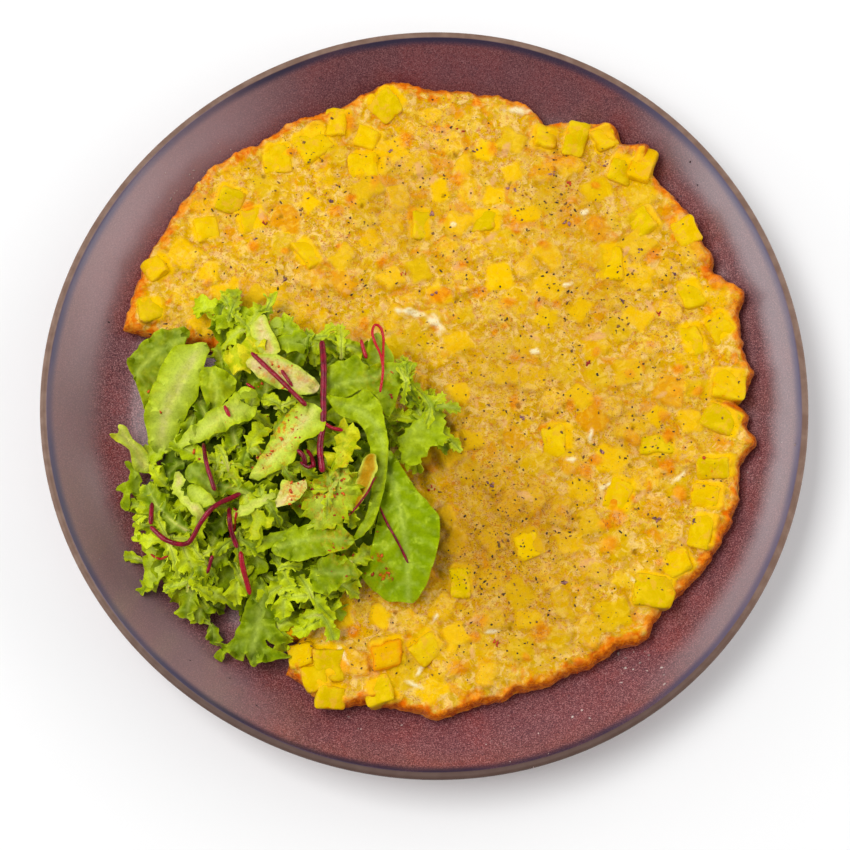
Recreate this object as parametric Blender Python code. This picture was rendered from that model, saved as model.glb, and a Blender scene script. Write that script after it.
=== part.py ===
"""A spanish omelette with one slice taken out and a heap of salad in its place, on its plate.

Lengths are written in millimetres and turned into metres by MM as each mesh is made. The origin
is at the middle of the plate's underside, +Z points up, and the open slice is at -X -Y.
"""

import math
import random

import bmesh
import bpy
import numpy as np
from mathutils import Vector, noise
from mathutils.bvhtree import BVHTree
from mathutils.geometry import delaunay_2d_cdt

MM = 0.001
GAP = 0.4                     # air between two pieces that rest on each other
FLAT_ANGLE = math.radians(0.6)      # neighbouring facets flatter than this become one

# Plate: a coupe plate with a flat well and a rising rim
PLATE_RADIUS = 140.0
PLATE_HEIGHT = 25.0
PLATE_SIDES = 64
WELL_RADIUS = 108.0
WELL_LEVEL = 7.5
RIM_INNER_RADIUS = 137.4
RIM_CURVE = 1.9               # power of the rise from the well to the lip
RIM_RINGS = 5
PLATE_THICKNESS = 4.5
UNDERSIDE_RADII = (128.0, 113.0)
FOOT_OUTER_RADIUS = 87.0
FOOT_INNER_RADIUS = 81.0
BASE_LEVEL = 3.0              # underside of the well, above the foot ring's flat face

# Omelette: a round egg and potato cake whose edge lies on the start of the rim
OMELETTE_CENTRE = (3.0, 4.0)
OMELETTE_RADIUS = 117.0
OMELETTE_LEAN = 2.0           # how much wider it is towards LEAN_BEARING than away from it
LEAN_BEARING = 145.0
OMELETTE_THICKNESS = 12.6
EDGE_THICKNESS = 10.4
EDGE_ROUND = 6.0              # width of the rounded shoulder
SHOULDER_LEVEL = 6.0          # top of the upright side, above the omelette's underside
BELLY_LEVEL = 3.2             # bottom of the upright side
RIM_LIFT = 0.8                # how much of the plate's rise the upper face follows
SLICE_APEX = (-14.0, 4.0)
SLICE_BEARINGS = (169.0, 243.5)
EDGE_WAVE = 0.9               # small unevenness of the round edge
CUT_WAVE = 0.7                # and of the two cut sides
SMALL_LUMPS = (0.9, 13.0)     # height and spacing of the lumps in the upper face
BROAD_LUMPS = (0.8, 34.0)
SHADE_PLAIN = 0.7             # share of the lumps left out where salad hides the egg
OUTLINE_STEP = 5.2
MESH_STEP = 8.4
BOTTOM_STEP = 25.0

# Bumps and dents of the edge: bearing in degrees, depth, half width in degrees
EDGE_BUMPS = [
    (136, 2.3, 6.0), (123, -1.5, 3.0), (108, -1.8, 4.0), (98, 3.0, 5.0), (67, -4.0, 2.6),
    (56, 6.3, 3.6), (49, 6.5, 2.2), (29.5, -2.0, 1.8), (23, -2.6, 1.6), (17, 3.4, 2.4),
    (7, -1.2, 3.0), (3, 2.0, 1.2), (357, -4.4, 1.4), (350, 4.4, 1.8), (335, 2.4, 6.0),
    (291, -1.2, 8.0), (271, 3.8, 4.0), (252, 6.4, 3.6),
]

# Potato dice that stand out: x, y, side along, side across, turn in degrees, rise above the egg
KEY_DICE = [
    (57, 100, 8, 13, -15, 2.6), (67, 99, 8, 9, 25, 2.4), (45, 100, 9, 10, -12, 2.2),
    (82, 88, 8, 13, -20, 2.2), (74, 87, 9, 10, -15, 1.8), (82, 67, 10, 10, 30, 2.4),
    (98, 64, 9, 11, 25, 1.6), (70, 51, 10, 14, 0, 1.0), (99, 39, 8, 11, 25, 1.4),
    (109, 27, 9, 10, 35, 1.6), (99, 22, 8, 12, 15, 1.4), (111, 4, 12.5, 12, -5, 2.8),
    (109, -9, 13, 10, -25, 2.2), (107, -26, 12, 8, 0, 1.8), (103, -37, 10, 10, -5, 2.4),
    (101, -50, 8, 12.5, -10, 1.8), (82, -72, 14, 12.5, -10, 2.4), (92, -62, 10, 9, 25, 1.8),
    (37, -55, 9.5, 10, 20, 1.8), (13, -68, 8, 10.5, 0, 2.0), (71, -37, 9, 13, -20, 1.2),
    (49, -17, 9, 12.5, 0, 1.4), (85, -19, 12, 7, 5, 1.0), (-43, -94, 9, 9, 12, 2.0),
    (-34, -97, 11, 11, 0, 2.0), (-39, -103, 9, 10, 8, 2.2), (-34, -110, 10, 8, -5, 2.2),
    (-15, -108, 10, 10, 20, 2.2), (-13, -94, 11.5, 10, 12, 3.4), (0, -92, 10, 10, 40, 2.6),
    (-47, -85, 9, 9, 5, 2.0), (-42, 98, 13, 12.5, 35, 2.0), (-32, 106, 8, 10, 0, 1.8),
    (-21, 100, 9, 8, -25, 2.2), (-21, 90, 12, 10, 0, 1.4), (-73, 76, 10, 10, -20, 2.6),
    (-82, 64, 9, 9, 10, 1.8), (-44, 54, 7, 12, 35, 1.6), (-2, 66, 7, 12, 0, 1.2),
    (23, 67, 9.5, 8, 0, 1.6), (-99, 49, 9, 9, 30, 1.6), (-65, 68, 10, 9, 15, 1.0),
]
DICE_SPACING = 11.0
RIM_DICE_STEP = 11.5
RIM_DICE_INSET = (6.5, 11.0)
DICE_SIDE = (8.5, 11.5)
DICE_SEED = 11
DICE_TAPER = 0.93             # size of a die's upper face against its lower one
DICE_UNEVEN = 0.5

# Salad: a domed core in the open slice with leaves, curly sprigs and red stems on it
CORE_CENTRE = (-55.0, -29.0)
CORE_RADII = (45.0, 50.0)
CORE_TOP = 38.0
CORE_BOTTOM = 8.1
CORE_EDGE = 3.0               # height of the core's upright edge
CORE_LUMPS = (2.2, 11.0)
CORE_SIDES = 40
CORE_STEP = 8.5
CUT_CLEARANCE = 2.6
LEAF_THICKNESS = 1.1
SALAD_SEED = 5

# Leaves: base, middle and tip as (x, y, z), then width, roll in degrees and ruffle height
LEAVES = [
    ((-85, 19, 30), (-98, 17, 27), (-110, 10, 18), 21, 12, 1.6),
    ((-79, 17, 31), (-89, -3, 34), (-97, -20, 19), 21, -12, 1.2),
    ((-80, 8, 33), (-76, -1, 34), (-77, -9, 28), 13, 10, 1.0),
    ((-92, -22, 20), (-78, -16, 33), (-61, -6, 38), 10, 0, 1.8),
    ((-53, 9, 39), (-59, 17, 38), (-61, 28, 32), 10, -15, 0.8),
    ((-57, 12, 39), (-66, 12, 37), (-74, 12, 31), 13, 10, 2.4),
    ((-66, 6, 38), (-52, 3, 42), (-40, -4, 43), 10, -10, 0.8),
    ((-36, -2, 42), (-21, 1, 41), (-3, 11, 30), 20, 12, 1.4),
    ((-33, -9, 43), (-15, -26, 40), (-24, -55, 32), 12, 20, 1.6),
    ((-27, -31, 42), (-29, -24, 43), (-31, -16, 42), 10, 0, 2.0),
    ((-15, -25, 31), (-8, -50, 32), (-9, -77, 24), 30, 8, 1.2),
    ((-61, -34, 40), (-49, -23, 44), (-38, -9, 44), 17, -8, 1.4),
    ((-51, -37, 45), (-46, -40, 46), (-42, -45, 44), 6, 0, 0.4),
    ((-40, -54, 41), (-35, -43, 45), (-30, -31, 45), 16, 0, 2.2),
    ((-19, -28, 39), (-21, -35, 38), (-25, -44, 37), 7, 25, 0.6),
    ((-55, -60, 36), (-40, -56, 39), (-24, -57, 34), 13, -10, 1.4),
    ((-67, -60, 33), (-56, -57, 36), (-44, -53, 38), 5, 15, 0.6),
    ((-55, -68, 28), (-58, -84, 19), (-64, -98, 15), 17, 10, 2.6),
    ((-66, -66, 25), (-68, -74, 18), (-70, -82, 12), 11, -15, 0.6),
    ((-50, -68, 28), (-51, -77, 25), (-51, -85, 23), 8, 15, 0.6),
    ((-17, 8, 33), (-15, 15, 34), (-17, 23, 30), 9, 20, 0.6),
    ((-99, -32, 14), (-105, -22, 13), (-112, -16, 16), 7, 10, 1.0),
]

# Clumps of curly sprigs: centre as (x, y, z), radius, number of sprigs
CLUMPS = [
    ((-73, 29, 28), 10, 3), ((-43, 15, 37), 12, 3), ((-4, -13, 30), 14, 4),
    ((-87, -52, 29), 20, 5), ((-76, -38, 36), 14, 4), ((-37, -80, 28), 11, 3),
    ((-44, -69, 33), 11, 3), ((-97, -35, 24), 10, 2), ((-83, -69, 19), 9, 3),
    ((-8, 2, 31), 9, 2),
]
SPRIG_WIDTH = 6.5

# Red stems: width, then the points of the run
STEMS = [
    (1.8, [(-62, 10), (-52, 0), (-42, -10)]),
    (2.2, [(-37, 15), (-36, -1), (-36, -12), (-37, -23), (-36, -34)]),
    (1.6, [(-36, -16), (-29, -19)]),
    (1.6, [(-16, -3), (-15, 8), (-17, 18)]),
    (1.8, [(-97, -43), (-96, -51), (-90, -56), (-84, -57), (-77, -49), (-71, -44), (-65, -41)]),
    (1.7, [(-79, -22), (-77, -31), (-74, -40)]),
    (1.8, [(-69, -46), (-68, -54), (-65, -61), (-62, -74)]),
]


def smooth_step(value):
    """Goes from 0 to 1 as value does, level at both ends."""
    value = min(max(value, 0.0), 1.0)
    return value * value * (3.0 - 2.0 * value)


def bearing_gap(one, other):
    """The signed angle in degrees from one bearing to another."""
    return (one - other + 180.0) % 360.0 - 180.0


def wave(x, y, scale, seed):
    """Smooth noise from -1 to 1 with features about scale across."""
    return noise.noise(Vector((x / scale, y / scale, seed * 7.3)))


def make_material(name, colour, roughness):
    """A Principled material of one colour."""
    material = bpy.data.materials.new(name)
    material.use_nodes = True
    shader = material.node_tree.nodes["Principled BSDF"]
    shader.inputs["Base Color"].default_value = (*colour, 1.0)
    shader.inputs["Roughness"].default_value = roughness
    shader.inputs["Metallic"].default_value = 0.0
    return material


def make_object(name, points, faces, material=None):
    """An object from points in millimetres and faces, with its faces turned outwards."""
    mesh = bpy.data.meshes.new(name)
    mesh.from_pydata([tuple(c * MM for c in p) for p in points], [], faces)
    sheet = bmesh.new()
    sheet.from_mesh(mesh)
    bmesh.ops.recalc_face_normals(sheet, faces=sheet.faces)
    sheet.to_mesh(mesh)
    sheet.free()
    if material:
        mesh.materials.append(material)
    thing = bpy.data.objects.new(name, mesh)
    bpy.context.scene.collection.objects.link(thing)
    return thing


# The plate

def plate_top(x, y):
    """Height of the plate's upper face, which is turned in PLATE_SIDES flat facets."""
    turn = 2.0 * math.pi / PLATE_SIDES
    facet = (math.atan2(y, x) // turn + 0.5) * turn
    across = (x * math.cos(facet) + y * math.sin(facet)) / math.cos(turn / 2.0)
    return rim_level(across)


def rim_level(radius):
    """Height of the upper face at a radius."""
    if radius <= WELL_RADIUS:
        return WELL_LEVEL
    share = (radius - WELL_RADIUS) / (RIM_INNER_RADIUS - WELL_RADIUS)
    return WELL_LEVEL + (PLATE_HEIGHT - WELL_LEVEL) * share ** RIM_CURVE


def plate_profile():
    """The turned outline from the middle of the upper face round to the middle of the underside."""
    step = (RIM_INNER_RADIUS - WELL_RADIUS) / RIM_RINGS
    upper = [(WELL_RADIUS + i * step, rim_level(WELL_RADIUS + i * step)) for i in range(RIM_RINGS + 1)]
    lip = [(PLATE_RADIUS - 1.1, PLATE_HEIGHT), (PLATE_RADIUS, PLATE_HEIGHT - 1.4),
           (PLATE_RADIUS - 0.4, PLATE_HEIGHT - 2.8)]
    under = []
    for radius in UNDERSIDE_RADII:
        under.append((radius, rim_level(radius + 1.5) - PLATE_THICKNESS))
    foot = [(FOOT_OUTER_RADIUS + 1.0, BASE_LEVEL), (FOOT_OUTER_RADIUS, 0.0),
            (FOOT_INNER_RADIUS, 0.0), (FOOT_INNER_RADIUS - 1.0, BASE_LEVEL)]
    return upper + lip + under + foot


def make_plate():
    """The plate as one turned solid."""
    points = [(0.0, 0.0, WELL_LEVEL)]
    profile = plate_profile()
    for radius, level in profile:
        for side in range(PLATE_SIDES):
            angle = 2.0 * math.pi * side / PLATE_SIDES
            points.append((radius * math.cos(angle), radius * math.sin(angle), level))
    points.append((0.0, 0.0, BASE_LEVEL))
    last = len(points) - 1
    faces = []
    for side in range(PLATE_SIDES):
        after = (side + 1) % PLATE_SIDES
        faces.append((0, 1 + side, 1 + after))
        for ring in range(len(profile) - 1):
            near = 1 + ring * PLATE_SIDES
            far = near + PLATE_SIDES
            faces.append((near + side, far + side, far + after, near + after))
        rim = 1 + (len(profile) - 1) * PLATE_SIDES
        faces.append((rim + side, last, rim + after))
    plate = make_object("plate", points, faces, make_material("glaze", (0.11, 0.045, 0.055), 0.3))
    plate.data.shade_smooth()
    plate.data.set_sharp_from_angle(angle=math.radians(40))
    return plate


# The omelette

def edge_radius(bearing):
    """Distance of the omelette's edge from its middle along a bearing."""
    radius = OMELETTE_RADIUS
    radius += OMELETTE_LEAN * math.cos(math.radians(bearing - LEAN_BEARING))
    for place, depth, half_width in EDGE_BUMPS:
        radius += depth * math.exp(-(bearing_gap(bearing, place) / half_width) ** 2)
    turn = math.radians(bearing)
    radius += EDGE_WAVE * wave(40.0 * math.cos(turn), 40.0 * math.sin(turn), 3.0, 1)
    return radius


def edge_point(bearing):
    """A point of the omelette's round edge."""
    radius = edge_radius(bearing)
    turn = math.radians(bearing)
    x = OMELETTE_CENTRE[0] + radius * math.cos(turn)
    y = OMELETTE_CENTRE[1] + radius * math.sin(turn)
    return x, y


def cut_edge(start, end, step):
    """Points of one cut side of the open slice, from start to just before end."""
    run = math.dist(start, end)
    count = max(2, round(run / step))
    across = ((start[1] - end[1]) / run, (end[0] - start[0]) / run)
    points = []
    for i in range(1, count):
        share = i / count
        x = start[0] + (end[0] - start[0]) * share
        y = start[1] + (end[1] - start[1]) * share
        shift = CUT_WAVE * wave(x, y, 14.0, 2) * math.sin(math.pi * share)
        points.append((x + across[0] * shift, y + across[1] * shift))
    return points


def omelette_outline(step):
    """The closed outline in plan, anticlockwise, with the slice left open."""
    first, last = SLICE_BEARINGS
    sweep = 360.0 - (last - first)
    count = round(math.radians(sweep) * OMELETTE_RADIUS / step)
    rim = [edge_point(last + sweep * i / count) for i in range(count + 1)]
    inward = cut_edge(rim[-1], SLICE_APEX, step)
    outward = cut_edge(SLICE_APEX, rim[0], step)
    return rim + inward + [SLICE_APEX] + outward


def edge_distance(points, outline):
    """Distance of each point in plan from the outline."""
    points = np.asarray(points, float)
    corners = np.asarray(outline, float)
    ahead = np.roll(corners, -1, axis=0) - corners
    best = np.full(len(points), np.inf)
    for corner, run in zip(corners, ahead):
        from_corner = points - corner
        share = np.clip(from_corner @ run / (run @ run), 0.0, 1.0)
        gap = np.hypot(*(from_corner - share[:, None] * run).T)
        best = np.minimum(best, gap)
    return best


def is_inside(x, y, outline):
    """Whether a point lies within a closed outline."""
    inside = False
    for (x1, y1), (x2, y2) in zip(outline, outline[1:] + outline[:1]):
        if (y1 > y) != (y2 > y) and x < x1 + (y - y1) * (x2 - x1) / (y2 - y1):
            inside = not inside
    return inside


def in_salad_shade(x, y):
    """1 under the heap of salad, where the egg stays plain, and 0 away from it."""
    across = (x - CORE_CENTRE[0]) / (CORE_RADII[0] + 10.0)
    along = (y - CORE_CENTRE[1]) / (CORE_RADII[1] + 10.0)
    return 1.0 - smooth_step((math.hypot(across, along) - 0.85) / 0.2)


def omelette_top(x, y, inset):
    """Height of the egg's upper face, inset from the edge."""
    raised = plate_top(x, y) - WELL_LEVEL
    middle = smooth_step(inset / 60.0)
    thickness = EDGE_THICKNESS + (OMELETTE_THICKNESS - EDGE_THICKNESS) * middle
    share = min(inset / EDGE_ROUND, 1.0)
    shoulder = SHOULDER_LEVEL + (thickness - SHOULDER_LEVEL) * math.sqrt(1.0 - (1.0 - share) ** 2)
    lumps = SMALL_LUMPS[0] * wave(x, y, SMALL_LUMPS[1], 3) + BROAD_LUMPS[0] * wave(x, y, BROAD_LUMPS[1], 4)
    lumps *= share * (1.0 - SHADE_PLAIN * in_salad_shade(x, y))
    return WELL_LEVEL + GAP + RIM_LIFT * raised + shoulder + lumps


def omelette_bottom(x, y, inset):
    """Height of the egg's lower face, which lies on the plate and turns up at the edge."""
    turned_up = BELLY_LEVEL * (1.0 - min(inset / 3.0, 1.0)) ** 1.5
    return plate_top(x, y) + GAP + turned_up


def plan_points(outline, step, seed):
    """Points spread over a plan: rings close to its edge, then an uneven grid inside."""
    rng = random.Random(seed)
    corners = np.asarray(outline, float)
    behind = np.roll(corners, 1, axis=0)
    ahead = np.roll(corners, -1, axis=0)
    along = ahead - behind
    along /= np.hypot(*along.T)[:, None]
    inward = np.stack((-along[:, 1], along[:, 0]), axis=1)
    points = []
    for ring, inset in enumerate((1.4, 4.0)):
        moved = (corners + inward * inset)[ring % 2::1 + ring]
        clear = edge_distance(moved, outline) > 0.9 * inset
        points += [tuple(p) for p in moved[clear]]
    grid = []
    rows = int(2.4 * OMELETTE_RADIUS / (step * 0.866))
    for row in range(-rows // 2, rows // 2):
        for column in range(-rows // 2, rows // 2):
            x = (column + 0.5 * (row % 2)) * step + rng.uniform(-0.2, 0.2) * step
            y = row * step * 0.866 + rng.uniform(-0.2, 0.2) * step
            if is_inside(x, y, outline):
                grid.append((x, y))
    clear = edge_distance(grid, outline) > 4.0 + 0.55 * step
    points += [p for p, keep in zip(grid, clear) if keep]
    return points


def fill_plan(outline, inner):
    """Triangles over a closed outline and the points inside it, which come after its corners."""
    flat = [Vector(p) for p in outline + inner]
    edges = [(i, (i + 1) % len(outline)) for i in range(len(outline))]
    made = delaunay_2d_cdt(flat, edges, [list(range(len(outline)))], 1, 0.001)
    return [tuple(face) for face in made[2]]


def solid_from_plan(name, outline, inner_top, inner_bottom, top_level, bottom_level):
    """A closed solid with an upper face, a lower face and an upright side all round."""
    count = len(outline)
    faces_top = fill_plan(outline, inner_top)
    faces_bottom = fill_plan(outline, inner_bottom)
    inset_top = np.concatenate((np.zeros(count), edge_distance(inner_top, outline)))
    inset_bottom = np.zeros(count)
    if inner_bottom:
        inset_bottom = np.concatenate((inset_bottom, edge_distance(inner_bottom, outline)))
    upper = [(x, y, top_level(x, y, d)) for (x, y), d in zip(outline + inner_top, inset_top)]
    lower = [(x, y, bottom_level(x, y, d)) for (x, y), d in zip(outline + inner_bottom, inset_bottom)]
    start = len(upper)
    faces = list(faces_top)
    faces += [tuple(start + i for i in reversed(face)) for face in faces_bottom]
    for i in range(count):
        after = (i + 1) % count
        faces.append((start + i, start + after, after))
        faces.append((start + i, after, i))
    return make_object(name, upper + lower, faces)


def rule_dice(outline):
    """The other dice: a loose row along the edge, clear of the key dice and of the salad."""
    rng = random.Random(DICE_SEED)
    placed = [(x, y) for x, y, *_ in KEY_DICE]
    dice = []
    bearing = SLICE_BEARINGS[1] + 3.0
    while bearing < SLICE_BEARINGS[0] + 358.0:
        edge_x, edge_y = edge_point(bearing)
        inset = rng.uniform(*RIM_DICE_INSET)
        share = 1.0 - inset / OMELETTE_RADIUS
        x = OMELETTE_CENTRE[0] + (edge_x - OMELETTE_CENTRE[0]) * share
        y = OMELETTE_CENTRE[1] + (edge_y - OMELETTE_CENTRE[1]) * share
        sides = rng.uniform(*DICE_SIDE), rng.uniform(*DICE_SIDE)
        turn = rng.uniform(-45.0, 45.0)
        rise = rng.uniform(1.0, 2.0)
        crowded = any(math.dist((x, y), p) < DICE_SPACING for p in placed)
        hidden = in_salad_shade(x, y) > 0.3
        cramped = edge_distance([(x, y)], outline)[0] < 5.0
        if not (crowded or hidden or cramped):
            placed.append((x, y))
            dice.append((x, y, *sides, turn, rise))
        bearing += math.degrees(RIM_DICE_STEP / OMELETTE_RADIUS) * rng.uniform(0.5, 1.0)
    return dice


def make_die(place, outline, index):
    """One potato die: a box that stands in the egg with its upper corners above it."""
    x, y, side_x, side_y, turn, rise = place
    rng = random.Random(index)
    angle = math.radians(turn)
    half = [(-side_x / 2, -side_y / 2), (side_x / 2, -side_y / 2),
            (side_x / 2, side_y / 2), (-side_x / 2, side_y / 2)]
    inset = float(edge_distance([(x, y)], outline)[0])
    level = omelette_top(x, y, max(inset, EDGE_ROUND)) + rise
    lower = []
    upper = []
    for across, along in half:
        px = x + across * math.cos(angle) - along * math.sin(angle)
        py = y + across * math.sin(angle) + along * math.cos(angle)
        lower.append([px, py, plate_top(px, py) + GAP + 1.2])
        top = level + rng.uniform(-DICE_UNEVEN, DICE_UNEVEN)
        upper.append([x + (px - x) * DICE_TAPER, y + (py - y) * DICE_TAPER, top])
    floor = max(p[2] for p in lower)
    for p in lower:
        p[2] = floor
    faces = [(0, 3, 2, 1), (4, 5, 6), (4, 6, 7)]
    for i in range(4):
        after = (i + 1) % 4
        faces.append((i, after, 4 + after))
        faces.append((i, 4 + after, 4 + i))
    return make_object("die", lower + upper, faces)


def keep_largest(thing):
    """Drops every loose scrap of a mesh but its largest body."""
    body = bmesh.new()
    body.from_mesh(thing.data)
    unseen = set(body.verts)
    groups = []
    while unseen:
        front = [unseen.pop()]
        group = set(front)
        while front:
            for edge in front.pop().link_edges:
                for vert in edge.verts:
                    if vert in unseen:
                        unseen.discard(vert)
                        group.add(vert)
                        front.append(vert)
        groups.append(group)
    largest = max(groups, key=len)
    loose = [v for v in body.verts if v not in largest]
    bmesh.ops.delete(body, geom=loose, context="VERTS")
    bmesh.ops.dissolve_limit(
        body, angle_limit=FLAT_ANGLE, verts=body.verts, edges=body.edges, use_dissolve_boundaries=False)
    bmesh.ops.triangulate(body, faces=body.faces)
    body.to_mesh(thing.data)
    body.free()


def fuse(base, pieces):
    """Joins the pieces to the base by one Boolean union and removes them."""
    group = bpy.data.collections.new("fused")
    bpy.context.scene.collection.children.link(group)
    for piece in pieces:
        bpy.context.scene.collection.objects.unlink(piece)
        group.objects.link(piece)
    union = base.modifiers.new("union", "BOOLEAN")
    union.operation = "UNION"
    union.operand_type = "COLLECTION"
    union.collection = group
    union.solver = "EXACT"
    union.use_self = True
    apply_modifiers(base)
    for piece in pieces:
        bpy.data.objects.remove(piece)
    bpy.data.collections.remove(group)
    keep_largest(base)


def apply_modifiers(thing):
    """Turns a mesh with its modifiers into a plain mesh."""
    graph = bpy.context.evaluated_depsgraph_get()
    graph.update()
    mesh = bpy.data.meshes.new_from_object(thing.evaluated_get(graph))
    thing.modifiers.clear()
    thing.data = mesh


def make_omelette():
    """The egg cake with its open slice and the potato dice that stand out of it."""
    outline = omelette_outline(OUTLINE_STEP)
    inner_top = plan_points(outline, MESH_STEP, 21)
    inner_bottom = plan_points(outline, BOTTOM_STEP, 22)
    omelette = solid_from_plan(
        "omelette", outline, inner_top, inner_bottom, omelette_top, omelette_bottom)
    dice = KEY_DICE + rule_dice(outline)
    fuse(omelette, [make_die(place, outline, i) for i, place in enumerate(dice)])
    omelette.data.materials.clear()
    omelette.data.materials.append(make_material("egg", (0.75, 0.45, 0.09), 0.45))
    return omelette


# The salad

def support_tree(things):
    """A search tree over the upper faces of what the salad rests on."""
    points = []
    faces = []
    for thing in things:
        start = len(points)
        points += [v.co / MM for v in thing.data.vertices]
        faces += [tuple(start + i for i in face.vertices) for face in thing.data.polygons]
    return BVHTree.FromPolygons(points, faces)


def level_at(tree, x, y):
    """Height of the highest face over a place in plan."""
    hit = tree.ray_cast(Vector((x, y, 200.0)), Vector((0.0, 0.0, -1.0)))[0]
    return hit.z if hit else 0.0


def support_level(tree, x, y, reach):
    """The highest level within reach of a place."""
    best = level_at(tree, x, y)
    for turn in range(8):
        angle = math.radians(45.0 * turn)
        for share in (0.5, 1.0):
            beside = level_at(tree, x + reach * share * math.cos(angle), y + reach * share * math.sin(angle))
            best = max(best, beside)
    return best


def core_level(x, y):
    """Height of the core's domed upper face."""
    across = (x - CORE_CENTRE[0]) / CORE_RADII[0]
    along = (y - CORE_CENTRE[1]) / CORE_RADII[1]
    share = min(math.hypot(across, along), 1.0)
    dome = (1.0 - share ** 2) ** 0.5
    lumps = CORE_LUMPS[0] * wave(x, y, CORE_LUMPS[1], 5) * dome
    edge = CORE_BOTTOM + CORE_EDGE
    return edge + (CORE_TOP - edge) * dome + lumps


def make_core(tree):
    """The lumpy dome under the leaves, cut clear of the omelette."""
    rim = []
    for i in range(CORE_SIDES):
        angle = 2.0 * math.pi * i / CORE_SIDES
        x = CORE_CENTRE[0] + CORE_RADII[0] * math.cos(angle)
        y = CORE_CENTRE[1] + CORE_RADII[1] * math.sin(angle)
        rim.append((x, y))
    inner = plan_points(rim, CORE_STEP, 23)
    core = solid_from_plan("salad", rim, inner, [], lambda x, y, inset: core_level(x, y),
                           lambda x, y, inset: CORE_BOTTOM)
    ledge = max(level_at(tree, *p) for p in inner + rim) + GAP
    cutter = make_clearance(ledge)
    cut = core.modifiers.new("clear of the omelette", "BOOLEAN")
    cut.operation = "DIFFERENCE"
    cut.object = cutter
    cut.solver = "EXACT"
    apply_modifiers(core)
    bpy.data.objects.remove(cutter)
    return core


def make_clearance(ledge):
    """A block over the whole omelette but its open slice, and CUT_CLEARANCE into the slice."""
    first, last = SLICE_BEARINGS
    ends = [edge_point(last), edge_point(first)]
    middle = [(a + b) / 2.0 for a, b in zip(*ends)]
    run = math.dist(middle, SLICE_APEX)
    apex = [a + (m - a) * CUT_CLEARANCE / run for a, m in zip(SLICE_APEX, middle)]
    start, stop = [math.atan2(y - SLICE_APEX[1], x - SLICE_APEX[0]) for x, y in ends]
    sweep = (stop - start) % (2.0 * math.pi)
    reach = 2.0 * OMELETTE_RADIUS
    plan = [apex]
    for i in range(13):
        angle = start + sweep * i / 12
        plan.append((apex[0] + reach * math.cos(angle), apex[1] + reach * math.sin(angle)))
    count = len(plan)
    points = [(x, y, -WELL_LEVEL) for x, y in plan] + [(x, y, ledge) for x, y in plan]
    faces = []
    for i in range(1, count - 1):
        faces.append((0, i + 1, i))
        faces.append((count, count + i, count + i + 1))
    for i in range(count):
        after = (i + 1) % count
        faces.append((i, after, count + after, count + i))
    return make_object("clearance", points, faces)


def spine_point(base, middle, tip, share):
    """A point of the curve from base to tip that goes through middle half way."""
    point = []
    for a, m, b in zip(base, middle, tip):
        bend = 2.0 * m - 0.5 * (a + b)
        point.append((1 - share) ** 2 * a + 2 * share * (1 - share) * bend + share ** 2 * b)
    return Vector(point)


def leaf_solid(tree, base, middle, tip, widths, roll, ruffle, columns):
    """A thin wavy leaf: two skins of the same triangles, a thickness apart, joined at the margin."""
    rows = len(widths)
    lean = math.tan(math.radians(roll))
    reach = max(math.dist(base, tip) / (rows - 1), max(widths) / columns)
    upper = []
    for i, width in enumerate(widths):
        share = i / (rows - 1)
        here = spine_point(base, middle, tip, share)
        ahead = spine_point(base, middle, tip, share + 0.02) - spine_point(base, middle, tip, share - 0.02)
        side = Vector((-ahead.y, ahead.x, 0.0)).normalized()
        for j in range(columns + 1):
            across = 2.0 * j / columns - 1.0
            point = here + side * (across * width / 2.0)
            point.z += across * width / 2.0 * lean
            point.z += ruffle * abs(across) * math.sin(5.0 * share * math.pi + across)
            point.z -= 0.12 * width * across * across
            support = support_level(tree, point.x, point.y, reach)
            point.z = max(point.z, support + GAP + LEAF_THICKNESS)
            upper.append(point)
    lower = [p - Vector((0.0, 0.0, LEAF_THICKNESS)) for p in upper]
    return skins(upper, lower, rows, columns)


def skins(upper, lower, rows, columns):
    """Points and faces of two like grids joined all round."""
    wide = columns + 1
    count = len(upper)
    faces = []
    for i in range(rows - 1):
        for j in range(columns):
            a, b = i * wide + j, i * wide + j + 1
            c, d = b + wide, a + wide
            faces += [(a, b, c), (a, c, d), (count + a, count + c, count + b), (count + a, count + d, count + c)]
    border = list(range(wide))
    border += [i * wide + columns for i in range(1, rows)]
    border += [(rows - 1) * wide + j for j in range(columns - 1, -1, -1)]
    border += [i * wide for i in range(rows - 2, 0, -1)]
    for one, other in zip(border, border[1:] + border[:1]):
        faces += [(one, count + one, count + other), (one, count + other, other)]
    return upper + lower, faces


def leaf_widths(width, rows):
    """Widths along a leaf: narrow at the base, widest past the middle, blunt at the tip."""
    shares = [i / (rows - 1) for i in range(rows)]
    return [width * (0.25 + 0.75 * math.sin(math.pi * (0.12 + 0.76 * s)) ** 1.3) for s in shares]


def sprig_widths(width, rows):
    """Widths along a curly sprig, whose margin goes in and out."""
    return [width * (0.35 + 0.65 * (i % 2)) * (1.15 - 0.6 * i / rows) for i in range(rows)]


def make_sprigs(tree):
    """Curly sprigs, each clump spreading from its middle."""
    rng = random.Random(SALAD_SEED)
    sprigs = []
    for (x, y, z), radius, count in CLUMPS:
        start = rng.uniform(0.0, 2.0 * math.pi)
        for i in range(count):
            angle = start + 2.0 * math.pi * i / count + rng.uniform(-0.3, 0.3)
            reach = radius * rng.uniform(0.85, 1.1)
            ends = [(x + r * math.cos(angle), y + r * math.sin(angle)) for r in (-0.1 * reach, 0.5 * reach, reach)]
            rise = rng.uniform(0.0, 2.0)
            base = (*ends[0], z - 2.0)
            middle = (*ends[1], z + rise)
            tip = (*ends[2], z - 0.35 * radius)
            widths = sprig_widths(SPRIG_WIDTH * rng.uniform(0.85, 1.2), 5)
            shape = leaf_solid(tree, base, middle, tip, widths, rng.uniform(-20, 20), 1.0, 2)
            sprigs.append(make_object("sprig", *shape))
    return sprigs


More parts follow.
